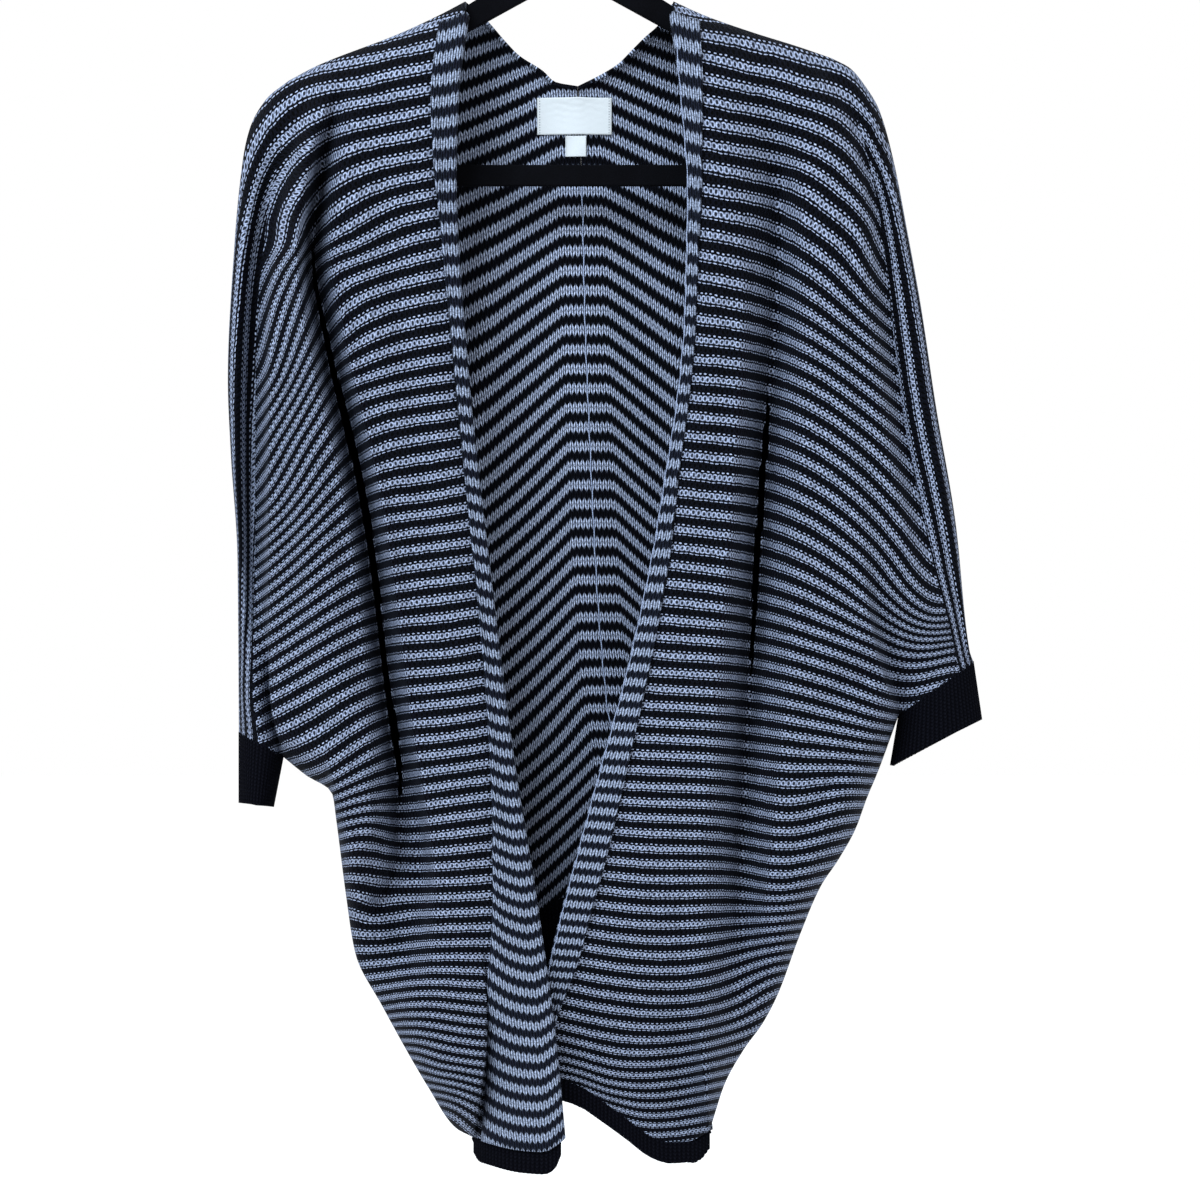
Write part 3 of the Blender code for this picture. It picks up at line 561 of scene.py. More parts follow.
def stripe_field(stripes):
    """A smooth function of (across, drop) through the stripe lines: sum of w r^2 log r, plus a plane."""
    knots = np.array([(a, d) for _, line in stripes for a, d in line], float)
    known = np.array([n for n, line in stripes for _ in line], float)
    count = len(knots)

    def plate(squared):
        return squared * np.log(squared + 1e-9)

    scale, slack = 100.0, 0.004
    spread = ((knots[:, None] - knots[None]) ** 2).sum(-1) / scale ** 2
    plane = np.column_stack((np.ones(count), knots / scale))
    system = np.block([[plate(spread) + slack * np.eye(count), plane], [plane.T, np.zeros((3, 3))]])
    weights = np.linalg.solve(system, np.concatenate((known, np.zeros(3))))

    def field(across, drop):
        shape = np.shape(across)
        where = np.column_stack((np.ravel(across), np.ravel(drop))) / scale
        squared = ((where[:, None] - knots[None] / scale) ** 2).sum(-1)
        value = plate(squared) @ weights[:count] + weights[count] + where @ weights[count + 1:]
        return value.reshape(shape)

    return field


def back_stripes(flat):
    """Stripe number on the back: level beside the centre seam, then falling away at the table's slope."""
    seam = along(CENTRE_SEAM, np.linspace(0, 1, 60))
    drop = flat[..., 1]
    away = np.abs(flat[..., 0] - np.interp(drop, seam[:, 1], seam[:, 0]))
    reach = BACK_REACH * np.tanh(np.maximum(away - BACK_LEVEL, 0) / BACK_REACH)
    at_seam = drop - read(BACK_SLOPES, drop) * reach
    first, last = BACK_STRIPES[0], BACK_STRIPES[1]
    above = (at_seam - first[0]) * (last[1] - first[1]) / (last[0] - first[0])
    return np.where(at_seam < first[0], above, read(BACK_STRIPES, at_seam))


def wale_count(points, stripes, wale, first):
    """Wales from the inner edge outwards: the count of the neighbouring column where the stripe is the same,
    plus the distance to that place over the width of a wale."""
    columns, rows = stripes.shape
    index = np.arange(rows)
    count = np.zeros((columns, rows))
    for column in range(columns - 2, first - 1, -1):
        beside = np.maximum.accumulate(stripes[column + 1])
        at = np.interp(stripes[column], beside, index)
        matched = np.stack([np.interp(at, index, points[column + 1, :, k]) for k in range(3)], axis=1)
        step = np.linalg.norm(points[column] - matched, axis=1)
        direct = np.linalg.norm(points[column] - points[column + 1], axis=1)
        missed = np.abs(stripes[column] - np.clip(stripes[column], beside[0], beside[-1]))
        step = np.where(missed > 0.02, 0.8 * direct, step)
        count[column] = np.interp(at, index, count[column + 1]) + step / (wale[column] * MM)
    return count


def knitting_count(grid, side, facing, knit):
    """UV of a panel: (arm UV, body UV), each (column, row, 2), as wales and courses."""
    flat, points, arm = grid["flat"], grid["points"], grid["arm"]
    if facing == "front":
        body = stripe_field(STRIPES[side])(flat[..., 0], flat[..., 1]) - LIGHT_MIDDLE
    else:
        body = back_stripes(flat)
    wale = np.interp(body, (0, LAST_STRIPE), (knit.wale_top, knit.wale_bottom))
    across = wale_count(points, body, wale, 0)

    names, shares = grid["names"], grid["shares"]
    overarm, crest, valley = (read(stripes, shares) for stripes in ARM_STRIPES.values())
    round_arm = run_of(points)
    to_crest = round_arm[np.searchsorted(grid["places"], grid["stops"][names.index("arm_crest")])]
    past_crest = np.maximum(round_arm[arm] - to_crest, MM)
    sleeve = overarm + (crest - overarm) * np.clip(round_arm / to_crest, 0, 1)
    sleeve = sleeve + (valley - crest) * np.clip((round_arm - to_crest) / past_crest, 0, 1)
    down = run_of(points.transpose(1, 0, 2)).T / (knit.wale_top * MM)
    from_share, to_share = ARM_TURN
    turned = ease((shares - from_share) / (to_share - from_share))[None]
    middle = int(np.searchsorted(shares, (from_share + to_share) / 2))
    lengthways = down + across[arm, middle] - down[arm, middle]
    arm_uv = np.stack((across + (lengthways - across) * turned,
                       (body + (sleeve - body) * turned) * knit.courses), axis=-1)
    return arm_uv, np.stack((across, body * knit.courses), axis=-1)


# ---------------------------------------------------------------- meshes


def corners_of(grid):
    """The four corners of each cell of a grid, in order round it."""
    return np.stack((grid[:-1, :-1], grid[1:, :-1], grid[1:, 1:], grid[:-1, 1:]), axis=2)


def placed(name, data, *materials):
    """An object in the scene with this data and these materials."""
    for material in materials:
        data.materials.append(material)
    piece = bpy.data.objects.new(name, data)
    bpy.context.scene.collection.objects.link(piece)
    return piece


def shell(name, outer, inner, uv, flip, materials, split=None, closed=False):
    """A closed wall between an outer and an inner grid. uv is one (column, row, 2) grid, or two when split:
    the first up to that column and the second beyond it. closed joins the last column to the first."""
    columns, rows = outer.shape[:2]
    number = np.arange(columns * rows).reshape(columns, rows)
    if closed:
        number = np.vstack((number, number[:1]))
    cells = corners_of(number).reshape(-1, 4)
    if split is None:
        cell_uv = corners_of(uv)
        point_uv = uv
    else:
        cell_uv = np.concatenate((corners_of(uv[0][:split + 1]), corners_of(uv[1][split:])))
        point_uv = np.concatenate((uv[0][:split], uv[1][split:]))
    cell_uv = cell_uv.reshape(-1, 4, 2)
    total = columns * rows
    if closed:
        rings = [(number[:, 0], point_uv[:, 0]), (number[::-1, -1], point_uv[::-1, -1])]
    else:
        rings = [[np.concatenate((row[:, 0], row[-1, 1:], row[-2::-1, -1], row[0, -2::-1]))
                  for row in (number, point_uv)]]
    rims = np.concatenate([np.stack((r[1:], r[:-1], r[:-1] + total, r[1:] + total), axis=-1)
                           for r, _ in rings])
    rim_uv = np.concatenate([np.stack((u[1:], u[:-1], u[:-1], u[1:]), axis=1) for _, u in rings])
    faces = np.vstack((cells, cells[:, ::-1] + total, rims))
    corner_uv = np.concatenate((cell_uv, cell_uv[:, ::-1], rim_uv))
    if flip:
        faces, corner_uv = faces[:, ::-1], corner_uv[:, ::-1]
    slots = np.zeros(len(faces), np.int32)
    slots[len(cells):] = len(materials) - 1
    mesh = bpy.data.meshes.new(name)
    vertices = np.concatenate((outer.reshape(-1, 3), inner.reshape(-1, 3)))
    mesh.from_pydata(vertices.tolist(), [], faces.tolist())
    mesh.uv_layers.new(name="knit").data.foreach_set("uv", corner_uv.reshape(-1).astype(np.float32))
    piece = placed(name, mesh, *materials)
    mesh.polygons.foreach_set("material_index", slots)
    mesh.shade_smooth()
    mesh.update()
    mesh.validate()
    return piece


def area_of(points):
    """Area of a grid's cells, in square metres, from their diagonals' cross product."""
    first = points[1:, 1:] - points[:-1, :-1]
    second = points[:-1, 1:] - points[1:, :-1]
    return float(np.linalg.norm(np.cross(first, second), axis=2).sum() / 2)


def dress(piece, slot, *nodes):
    """A piece rides with the part and stands for its CAD nodes, which are hidden."""
    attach(piece, "root")
    if nodes:
        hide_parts(*nodes)


def cloth_sheet(piece, outer, *rests_on):
    """Works out a piece's size as cloth: its flat size is its grid's longest runs, its area the sum of the
    cells.
    """
    area = area_of(outer)
    length = max(SHEET_SHORTEST, run_of(outer.transpose(1, 0, 2))[-1].max())
    width = run_of(outer)[-1].max()
    if area < 0.32 * width * length:
        width = area / (0.4 * length)


# ---------------------------------------------------------------- materials

# The attribute that a node's mode sets, and the input and output sockets that some modes use.
MODES = {"Math": "operation", "VectorMath": "operation", "Mix": "data_type"}
SOCKETS = {"Mix.RGBA": ((0, 6, 7), 2), "Mix.FLOAT": ((0, 2, 3), 0), "VectorMath.LENGTH": ((0,), 1)}
WEAVE_STEPS = (0.7, 0.9)
LABEL_STITCH_ROW = 0.93
LABEL_STITCHES = 7.0
LEG_SLANT = -2.2


def linear(colour):
    """An sRGB hex colour as linear red, green and blue, with an alpha of 1."""
    channels = [int(colour[k:k + 2], 16) / 255 for k in (1, 3, 5)]
    return (*(c / 12.92 if c <= 0.04045 else ((c + 0.055) / 1.055) ** 2.4 for c in channels), 1.0)


def node(tree, kind, *inputs, out=0, named=None, **settings):
    """Adds a shader node and returns one of its outputs.

    kind is its type, with its mode after a dot. inputs fill its sockets in order, and named fills sockets by
    name. Each is a value, or another node's output, which is linked. settings are the node's own attributes.
    """
    plain_kind, _, mode = kind.partition(".")
    added = tree.nodes.new(f"ShaderNode{plain_kind}")
    if mode:
        setattr(added, MODES[plain_kind], mode)
    for name, value in settings.items():
        setattr(added, name, value)
    places, out = SOCKETS.get(kind, (range(len(inputs)), out))
    for place, value in (*zip(places, inputs), *(named or {}).items()):
        if isinstance(value, bpy.types.NodeSocket):
            tree.links.new(value, added.inputs[place])
        else:
            added.inputs[place].default_value = value
    return added.outputs[out]


def new_material(name, roughness, sheen=0.0, sheen_hex="#FFFFFF", metallic=0.0, specular=0.5):
    """A material, with what is the same all over set on its shader, and node() bound to its tree."""
    material = bpy.data.materials.new(name)
    material.use_nodes = True
    inputs = material.node_tree.nodes["Principled BSDF"].inputs
    for socket, value in (("Roughness", roughness), ("Metallic", metallic), ("Specular IOR Level", specular),
                          ("Sheen Weight", sheen), ("Sheen Roughness", 0.5),
                          ("Sheen Tint", linear(sheen_hex))):
        inputs[socket].default_value = value
    return material, partial(node, material.node_tree)


def surfaced(material, colour, height=None, strength=0.7, distance=1.1):
    """The material with a colour, and a bump from a height that is distance millimetres deep."""
    tree = material.node_tree
    inputs = tree.nodes["Principled BSDF"].inputs
    tree.links.new(colour, inputs["Base Color"])
    if height is not None:
        bump = node(tree, "Bump", named={"Height": height, "Strength": strength, "Distance": distance * MM})
        tree.links.new(bump, inputs["Normal"])
    return material


def knit_surfaced(material, add, colour, height, least):
    """A knit's colour with painted shade in the gaps between its yarns: times least + (1 - least) x
    height^1.5.
    """
    # Painted shade: the lower the yarn, the darker its colour, down to least of it in the gaps.
    shade = add("Math.MULTIPLY_ADD", add("Math.POWER", height, 1.5), 1 - least, least, use_clamp=True)
    painted_gap_shade = add("CombineColor", shade, shade, shade)
    return surfaced(material, add("Mix.RGBA", 1.0, colour, painted_gap_shade, blend_type="MULTIPLY"), height)


def wandering_stitches(add, reach):
    """The knit's UV, and its wales and courses with each stitch pushed about by up to reach of a stitch."""
    uv = add("UVMap", uv_map="knit")
    noise = add("TexNoise", named={"Vector": uv, "Scale": 0.45, "Detail": 2.0}, out="Color",
                noise_dimensions="2D")
    centred = add("VectorMath.SUBTRACT", noise, (0.5, 0.5, 0.5))
    pushed = add("VectorMath.MULTIPLY_ADD", centred, (reach, reach, 0.0), uv)
    return uv, *(add("SeparateXYZ", pushed, out=axis) for axis in "XY")


def heathered(add, uv, low_hex, high_hex, grain):
    """A yarn's colour: it wanders between two tones with noise drawn out along the course."""
    stretched = add("Mapping", named={"Vector": uv, "Scale": (0.9 * grain, 2.2 * grain, 1.0)})
    fibre = add("TexNoise", named={"Vector": stretched, "Scale": 1.3, "Detail": 3.0, "Roughness": 0.65},
                noise_dimensions="2D")
    mottle = add("Math.MULTIPLY_ADD", fibre, 3.0, -1.0, use_clamp=True)
    return add("Mix.RGBA", mottle, linear(low_hex), linear(high_hex))


def course_light(add, course, courses):
    """1 where a course number belongs to the light half of its stripe repeat, 0 in the dark half."""
    place = add("Math.MODULO", add("Math.ADD", course, 100.0 * courses), float(courses))
    return add("Math.LESS_THAN", place, courses / 2 - 0.5)


def round_yarn(add, off, thickness):
    """Height of a round yarn: the square root of 1 - (off / thickness)^2, and 0 beside it."""
    share = add("Math.DIVIDE", off, thickness)
    return add("Math.SQRT", add("Math.SUBTRACT", 1.0, add("Math.MULTIPLY", share, share), use_clamp=True))


def from_middle(add, x, y, wide, high):
    """How far (x, y) is from the middle of an oval, in shares of the way to its rim."""
    shares = (add("Math.DIVIDE", x, wide), add("Math.DIVIDE", y, high))
    return add("VectorMath.LENGTH", add("CombineXYZ", *shares))


def purl_material(knit):
    """Reverse stockinette knitted in two wool-blend yarns, unbrushed.

    It gives the eye a ladder: a row of light dots, a row of small rings, a row of thin light dashes and a
    black band. Loops show as rings between two light courses. Beside a dark course only their tips show.
    """
    ring_radius, ring_middle, ring_thickness, ring_height = 0.40, 0.92, 0.42, 0.92
    # A tip's half width, half height and level in stitches: a dot under a dark course, and a dash over one.
    dot, dash = (0.26, 0.25, -0.08), (0.38, 0.19, 0.10)
    material, add = new_material("wool_blend_purl_knit", 0.92, 0.03, knit.sheen_hex, specular=0.04)
    uv, wales, courses = wandering_stitches(add, 0.42)
    wave = add("Math.SINE", add("Math.MULTIPLY", courses, math.pi))
    bunched = add("Math.MULTIPLY_ADD", wave, knit.ring_stretch / math.pi, courses)
    near = add("Math.ROUND", bunched)
    within = add("Math.SUBTRACT", bunched, near)
    on_wale = add("Math.SUBTRACT", wales, add("Math.ROUND", wales))
    between = add("Math.SUBTRACT", add("Math.FRACT", wales), 0.5)
    above = course_light(add, add("Math.SUBTRACT", near, 1.0), knit.courses)
    below = course_light(add, near, knit.courses)
    both = add("Math.MULTIPLY", above, below)
    mixed = add("Math.SUBTRACT", 1.0, add("Math.COMPARE", above, below, 0.5))

    from_ring = from_middle(add, on_wale, within, ring_radius, ring_radius)
    rings = round_yarn(add, add("Math.SUBTRACT", from_ring, ring_middle), ring_thickness)
    tip_place = add("Mix.FLOAT", above, between, on_wale)
    wide, high, level = (add("Mix.FLOAT", above, *pair) for pair in zip(dot, dash))
    from_tip = from_middle(add, tip_place, add("Math.SUBTRACT", within, level), wide, high)
    tips = add("Math.MULTIPLY", round_yarn(add, from_tip, 1.0), mixed)
    lit = add("Math.MAXIMUM", add("Math.MULTIPLY", tips, 3.0, use_clamp=True), both)
    height = add("Math.MAXIMUM", tips, add("Math.MULTIPLY", rings, ring_height))

    light = heathered(add, uv, knit.light_hex, knit.light_high_hex, 1.0)
    # The tip colour is a painted highlight: loops' tips beside a dark course are mottled towards it.
    painted_tip_highlight = heathered(add, uv, knit.light_hex, knit.tip_hex, 1.6)
    dark = heathered(add, uv, knit.dark_hex, knit.dark_high_hex, 1.0)
    colour = add("Mix.RGBA", lit, dark, add("Mix.RGBA", mixed, light, painted_tip_highlight))
    # The rings' holes and the gaps round the tips get painted shade, down to 5 % of the colour.
    return knit_surfaced(material, add, colour, height, 0.05)


def plain_material(knit, name, hexes, thickness, gap):
    """Stockinette in the same two yarns: columns of V stitches, each leg a slanted oval of yarn.

    It gives the eye steep strokes in pairs that meet at the top, and stripes with zigzag edges. A leg is
    thickness wales thick either way, and thins by gap between two stitches.
    """
    material, add = new_material(name, 0.92, 0.03, knit.sheen_hex, specular=0.04)
    uv, wales, courses = wandering_stitches(add, 0.22)
    side = add("Math.ABSOLUTE", add("Math.SUBTRACT", add("Math.FRACT", wales), 0.5))
    slanted = add("Math.MULTIPLY_ADD", side, LEG_SLANT, courses)
    within = add("Math.SUBTRACT", add("Math.FRACT", slanted), 0.5)
    ends = add("Math.POWER", add("Math.ABSOLUTE", add("Math.MULTIPLY", within, 2.0)), 4.0)
    thinned = add("Math.MULTIPLY_ADD", ends, -gap, 1.0, use_clamp=True)
    leg = round_yarn(add, add("Math.SUBTRACT", side, 0.25), thickness)
    light, dark = (heathered(add, uv, *pair, 1.3) for pair in (hexes[:2], hexes[2:]))
    lit = course_light(add, add("Math.FLOOR", slanted), knit.courses)
    colour = add("Mix.RGBA", lit, dark, light)
    # The gaps between the legs get painted shade, down to 6 % of the colour.
    return knit_surfaced(material, add, colour, add("Math.MULTIPLY", leg, thinned), 0.06)


def inside_material(knit):
    """The panels' inner side, seen on the inside of the back: plain knit, flat and close."""
    hexes = (knit.inside_hex, knit.inside_high_hex, knit.dark_hex, knit.dark_high_hex)
    return plain_material(knit, "wool_blend_plain_knit", hexes, 0.19, 0.9)


def band_material(knit):
    """The fronts' rolled edges: the same plain knit, drawn out long, so its legs run on into each other."""
    hexes = (knit.band_hex, knit.band_high_hex, knit.band_dark_hex, knit.band_dark_high_hex)
    return plain_material(knit, "wool_blend_rolled_plain_knit", hexes, 0.21, 0.4)


def rib_material(trims):
    """One-by-one rib in the dark wool-blend yarn: its ribs are in the mesh, its stitches are here.

    It gives the eye matt navy-black columns, with a little painted highlight on their crests and stitches'
    middles.
    """
    material, add = new_material("wool_blend_rib_knit", 0.95, 0.005, trims.rib_sheen_hex, specular=0.01)
    uv = add("UVMap", uv_map="knit")
    place, down = (add("SeparateXYZ", uv, out=axis) for axis in "XY")
    side = add("Math.ABSOLUTE", add("Math.SUBTRACT", add("Math.FRACT", place), 0.5))
    within = add("Math.FRACT", add("Math.MULTIPLY_ADD", side, 1.2, down))
    stitch = add("Math.SINE", add("Math.MULTIPLY", within, math.pi))
    crest = add("Math.MULTIPLY_ADD", side, -1.8, 1.0, use_clamp=True)
    fibre = add("TexNoise", named={"Vector": uv, "Scale": 2.0, "Detail": 3.0}, noise_dimensions="2D")
    # Painted highlight: the colour lightens towards each rib's crest and each stitch's middle, mottled by the
    # fibre noise.
    tone = add("Math.MULTIPLY", add("Math.MULTIPLY", stitch, crest), fibre)
    tone = add("Math.MULTIPLY", tone, 2.0, use_clamp=True)
    colour = add("Mix.RGBA", tone, linear(trims.rib_hex), linear(trims.rib_high_hex))
    return surfaced(material, colour, stitch, 0.5, 0.6)


def label_material(trims):
    """Woven polyester satin tape, heat cut and sewn down at its two ends.

    It gives the eye a cool off-white with a soft low gloss, fine crossing threads and small stitches at each
    end. The weave is drawn at about three times its real size, so that it shows.
    """
    material, add = new_material("woven_polyester_label", 0.55, 0.10)
    place = add("TexCoord", out="Object")
    turns = (add("Math.MULTIPLY", add("SeparateXYZ", place, out=axis), 2 * math.pi / (step * MM))
             for axis, step in zip("XZ", WEAVE_STEPS))
    warp, weft = (add("Math.SINE", turn) for turn in turns)
    weave = add("Math.MULTIPLY_ADD", add("Math.MULTIPLY", warp, weft), 0.5, 0.5)
    colour = add("Mix.RGBA", weave, linear(trims.label_low_hex), linear(trims.label_hex))
    u, v = (add("SeparateXYZ", add("UVMap", uv_map="knit"), out=axis) for axis in "XY")
    from_row = add("Math.ABSOLUTE", add("Math.SUBTRACT", add("Math.ABSOLUTE", u), LABEL_STITCH_ROW))
    in_stitch = add("Math.LESS_THAN", add("Math.FRACT", add("Math.MULTIPLY", v, LABEL_STITCHES)), 0.5)
    stitched = add("Math.MULTIPLY", add("Math.LESS_THAN", from_row, 0.012), in_stitch)
    colour = add("Mix.RGBA", stitched, colour, linear(trims.stitch_hex))
    return surfaced(material, colour, add("Math.MULTIPLY_ADD", stitched, -2.0, weave), 0.3, 0.2)


def thread_material(trims):
    """Spun polyester sewing thread: pale blue and slightly glossy, its plies' twist seen as fine slants."""
    material, add = new_material("polyester_sewing_thread", 0.5, 0.1)
    place = add("TexCoord", out="Object")
    plies = add("TexWave", named={"Vector": place, "Scale": 500.0, "Distortion": 2.0}, out="Fac",
                bands_direction="DIAGONAL")
    return surfaced(material, add("Mix.RGBA", plies, linear(trims.thread_low_hex), linear(trims.thread_hex)))


def velvet_material(hanger):
    """Nylon flock on moulded polystyrene: nearly black, with a soft rim where the pile is seen edge on.

    It gives the eye deep matt black that lightens in faint brushed patches. The pile is about 0.5 mm long.
    """
    material, add = new_material("nylon_flock_velvet", 0.95, 0.05, hanger.pile_sheen_hex, specular=0.04)
    place = add("TexCoord", out="Object")
    pile, brushed = (add("TexNoise", named={"Vector": place, "Scale": scale, "Detail": detail})
                     for scale, detail in ((900.0, 3.0), (45.0, 2.0)))
    tone = add("Math.MULTIPLY", pile, brushed)
    colour = add("Mix.RGBA", tone, linear(hanger.pile_hex), linear(hanger.pile_high_hex))
    return surfaced(material, colour, pile, 0.35, 0.4)


def wire_material(hanger):
    """Nickel-plated steel wire, drawn and polished: sharp bright reflections with faint drawing marks."""
    material, add = new_material("nickel_plated_wire", 0.2, metallic=1.0)
    inputs = material.node_tree.nodes["Principled BSDF"].inputs
    inputs["Base Color"].default_value = linear(hanger.wire_hex)
    marks = add("TexNoise", named={"Vector": add("TexCoord", out="Object"), "Scale": 400.0, "Detail": 2.0})
    material.node_tree.links.new(add("Math.MULTIPLY_ADD", marks, 0.14, 0.12), inputs["Roughness"])
    return material


# ---------------------------------------------------------------- settings


def hexes(**colours):
    """Colour settings, each an sRGB hex string."""
    return {f"{name}_hex": StringProperty(name=name.replace("_", " ").capitalize(),
                                          description="sRGB hex colour", default=value)
            for name, value in colours.items()}


def lengths(**millimetres):
    """Length settings, each given as its default, least and most."""
    return {name: FloatProperty(name=name.replace("_", " ").capitalize(), description="In millimetres",
                                default=default, min=least, max=most)
            for name, (default, least, most) in millimetres.items()}


class CardiganKnitSettings(PropertyGroup):
    __annotations__ = {
        **lengths(wale_top=(4.0, 2.0, 8.0), wale_bottom=(3.2, 2.0, 8.0)),
        "courses": IntProperty(name="Courses", description="Rows of stitches in a pair of stripes", default=4,
                               min=2, max=12),
        "ring_stretch": FloatProperty(name="Ring stretch", description="How much taller the rings are",
                                      default=0.5, min=0.0, max=0.6),
        # The tip colour is a painted highlight on the purl loops' tips.
        **hexes(light="#5F6679", light_high="#A9B6D2", tip="#AFBCD8", dark="#030408", dark_high="#0C0E17",
                inside="#8490AA", inside_high="#BCC8E2", band="#5F6778", band_high="#A2AFC8",
                band_dark="#0C0F15", band_dark_high="#191D2B", sheen="#7A849E"),
    }


class CardiganTrimSettings(PropertyGroup):
    __annotations__ = {
        **lengths(rib_pitch=(3.3, 1.5, 8.0), rib_relief=(0.7, 0.0, 2.0)),
        # The rib's lighter colour is a painted highlight on its crests.
        **hexes(rib="#030305", rib_high="#0C0D13", rib_sheen="#5A6080", label="#BBC0C2", label_low="#A9AFB2",
                stitch="#666C72", thread="#94A3C0", thread_low="#66728E"),
    }


class CardiganHangerSettings(PropertyGroup):
    __annotations__ = hexes(pile="#020203", pile_high="#0A0B10", pile_sheen="#4A4C58", wire="#C9C8C4")


class CardiganStageSettings(PropertyGroup):
    floor_drop: FloatProperty(name="Floor below the hook", default=1.35, unit="LENGTH")
    key_power: FloatProperty(name="Key light, in watts", default=82.0)
    fill_power: FloatProperty(name="Fill light, in watts", default=9.0)
    world_strength: FloatProperty(name="Light from all round", default=1.0)
    floor_hex: StringProperty(name="Floor", description="sRGB hex colour", default="#FFFFFF")


# ---------------------------------------------------------------- pieces


def once(name, make, settings):
    """The material of this name, made the first time it is asked for."""
    return bpy.data.materials.get(name) or make(settings)


def panel_parts(side, facing):
    """A panel's grid with its inner face: the outer points moved in by the wall, kept to their side."""
    grid = sheet_grid(side, facing)
    turn = 1 if (side == "left") == (facing == "front") else -1
    grid["outward"] = facing_out(grid["points"], turn)
    grid["inner"] = keep_to_side(grid["points"] - grid["outward"] * WALL * MM, facing)
    grid["flip"] = turn < 0
    return grid


class CardiganStep:
    """What every step shares: it builds its pieces from the scene's settings."""

    def execute(self, context):
        self.build(context.scene)
        return {"FINISHED"}


class OBJECT_OT_cardigan_panels(CardiganStep, Operator):
    """Knit the two fronts and the two halves of the back"""
    bl_idname = "object.cardigan_panels"
    bl_label = "Panels"

    def build(self, scene):
        knit = scene.cardigan_knit
        purl = once("wool_blend_purl_knit", purl_material, knit)
        plain = once("wool_blend_plain_knit", inside_material, knit)
        for side, facing in PANELS:
            grid = panel_parts(side, facing)
            uv = knitting_count(grid, side, facing, knit)
            piece = shell(f"knitted_{side}_{facing}", grid["points"], grid["inner"], uv, grid["flip"],
                          (purl, plain), split=grid["arm"])
            dress(piece, "knit", f"{side}_{facing}")
            cloth_sheet(piece, grid["points"], "hanger")


def band_grid(side, grid):
    """Outer and inner points of a turned-out band, the run across it in metres, and its stripe numbers.

    Its profile starts inside the front's edge, goes round the edge in a half circle and then lies on the
    front, out to the band's width, where it rolls up a little.
    """
    rows = slice(4, -1)
    edge_run = run_of(grid["points"][-1])
    widths = read(BAND_WIDTHS[side], (edge_run / edge_run[-1])[rows]) * MM
    line = grid["points"][::-1, rows]
    square = grid["outward"][::-1, rows]
    run = run_of(line)
    share = np.linspace(0, 1, BAND_STEPS)
    index = np.arange(len(line))
    at = np.stack([np.interp(share * width, beside, index) for width, beside in zip(widths, run.T)], axis=1)
    low = np.clip(np.floor(at).astype(int), 0, len(line) - 2)
    part = (at - low)[..., None]
    row = np.arange(line.shape[1])[None]
    base, normal = (field[low, row] * (1 - part) + field[low + 1, row] * part for field in (line, square))
    normal /= np.linalg.norm(normal, axis=2, keepdims=True)
    stand = BAND_LIFT + TRIM_WALL
    rolled = BAND_ROLL * ease((share - 0.55) / 0.35) * (1 - 0.6 * ease((share - 0.9) / 0.1))
    roomy = np.clip(widths / (14 * MM), 0.4, 1)[None, :, None]
    lift = stand + rolled[:, None, None] * roomy

    away = line[0] - line[2]
    away -= (away * square[0]).sum(axis=1, keepdims=True) * square[0]
    away /= np.linalg.norm(away, axis=1, keepdims=True)
    turn = np.linspace(math.pi, 0, 9, endpoint=False)[:, None, None]
    centre = line[0] - square[0] * WALL / 2 * MM
    outer, inner = (
        np.concatenate((centre + (square[0] * np.cos(turn) + away * np.sin(turn) * 0.9)
                        * (stand + WALL / 2 - wall) * MM, base + normal * (lift - wall) * MM))
        for wall in (0, TRIM_WALL)
    )
    width_run = run_of(outer)
    at_fold = width_run / width_run[-1] * 2 - 1
    sag = np.where(at_fold < 0, BAND_SAG[0], BAND_SAG[1]) * at_fold ** 2 * widths / (BAND_WIDEST * MM)
    return outer, inner, width_run, read(BAND_STRIPES[side], grid["flat"][-1, rows, 1] + sag)


def running_stitches(name, line, radius, material):
    """A thin tube of thread along a line, forward of it by 0.35 + 0.45 x |sin(pi x stitches run)| mm."""
    line, = resampled(line, 0.8)
    run = run_of(line) / (STITCH_LENGTH * MM)
    line[:, 1] -= (0.35 + 0.45 * np.abs(np.sin(math.pi * run))) * MM
    line[:, 0] += 0.25 * np.sin(0.7 * run) * MM
    turns = np.linspace(0, 2 * math.pi, 6, endpoint=False)
    ring = np.stack((np.cos(turns), np.sin(turns), 0 * turns), axis=1) * radius * MM
    number = np.arange(len(ring) * len(line)).reshape(len(ring), len(line))
    number = np.vstack((number, number[:1]))
    faces = corners_of(number).reshape(-1, 4)[:, ::-1].tolist()
    caps = [number[:-1, 0].tolist(), number[-2::-1, -1].tolist()]
    mesh = bpy.data.meshes.new(name)
    mesh.from_pydata((line[None] + ring[:, None]).reshape(-1, 3).tolist(), [], faces + caps)
    mesh.shade_smooth()
    dress(placed(name, mesh, material), "knit")


class OBJECT_OT_cardigan_bands(CardiganStep, Operator):
    """Turn out the two front bands, which show the plain side of the knit"""
    bl_idname = "object.cardigan_bands"
    bl_label = "Front bands"

    def build(self, scene):
        knit = scene.cardigan_knit
        plain = once("wool_blend_rolled_plain_knit", band_material, knit)
        for side in ("right", "left"):
            outer, inner, run, stripe = band_grid(side, panel_parts(side, "front"))
            uv = np.stack((run / (knit.wale_top * MM), stripe * knit.courses), axis=-1)
            piece = shell(f"turned_{side}_front_band", outer, inner, uv, side == "right", (plain,))
            dress(piece, "knit", f"{side}_front_band")
            cloth_sheet(piece, outer, f"{side}_front")
        thread = once("polyester_sewing_thread", thread_material, scene.cardigan_trims)
        running_stitches("left_band_thread", outer[7, 6:-8], EDGE_THREAD, thread)


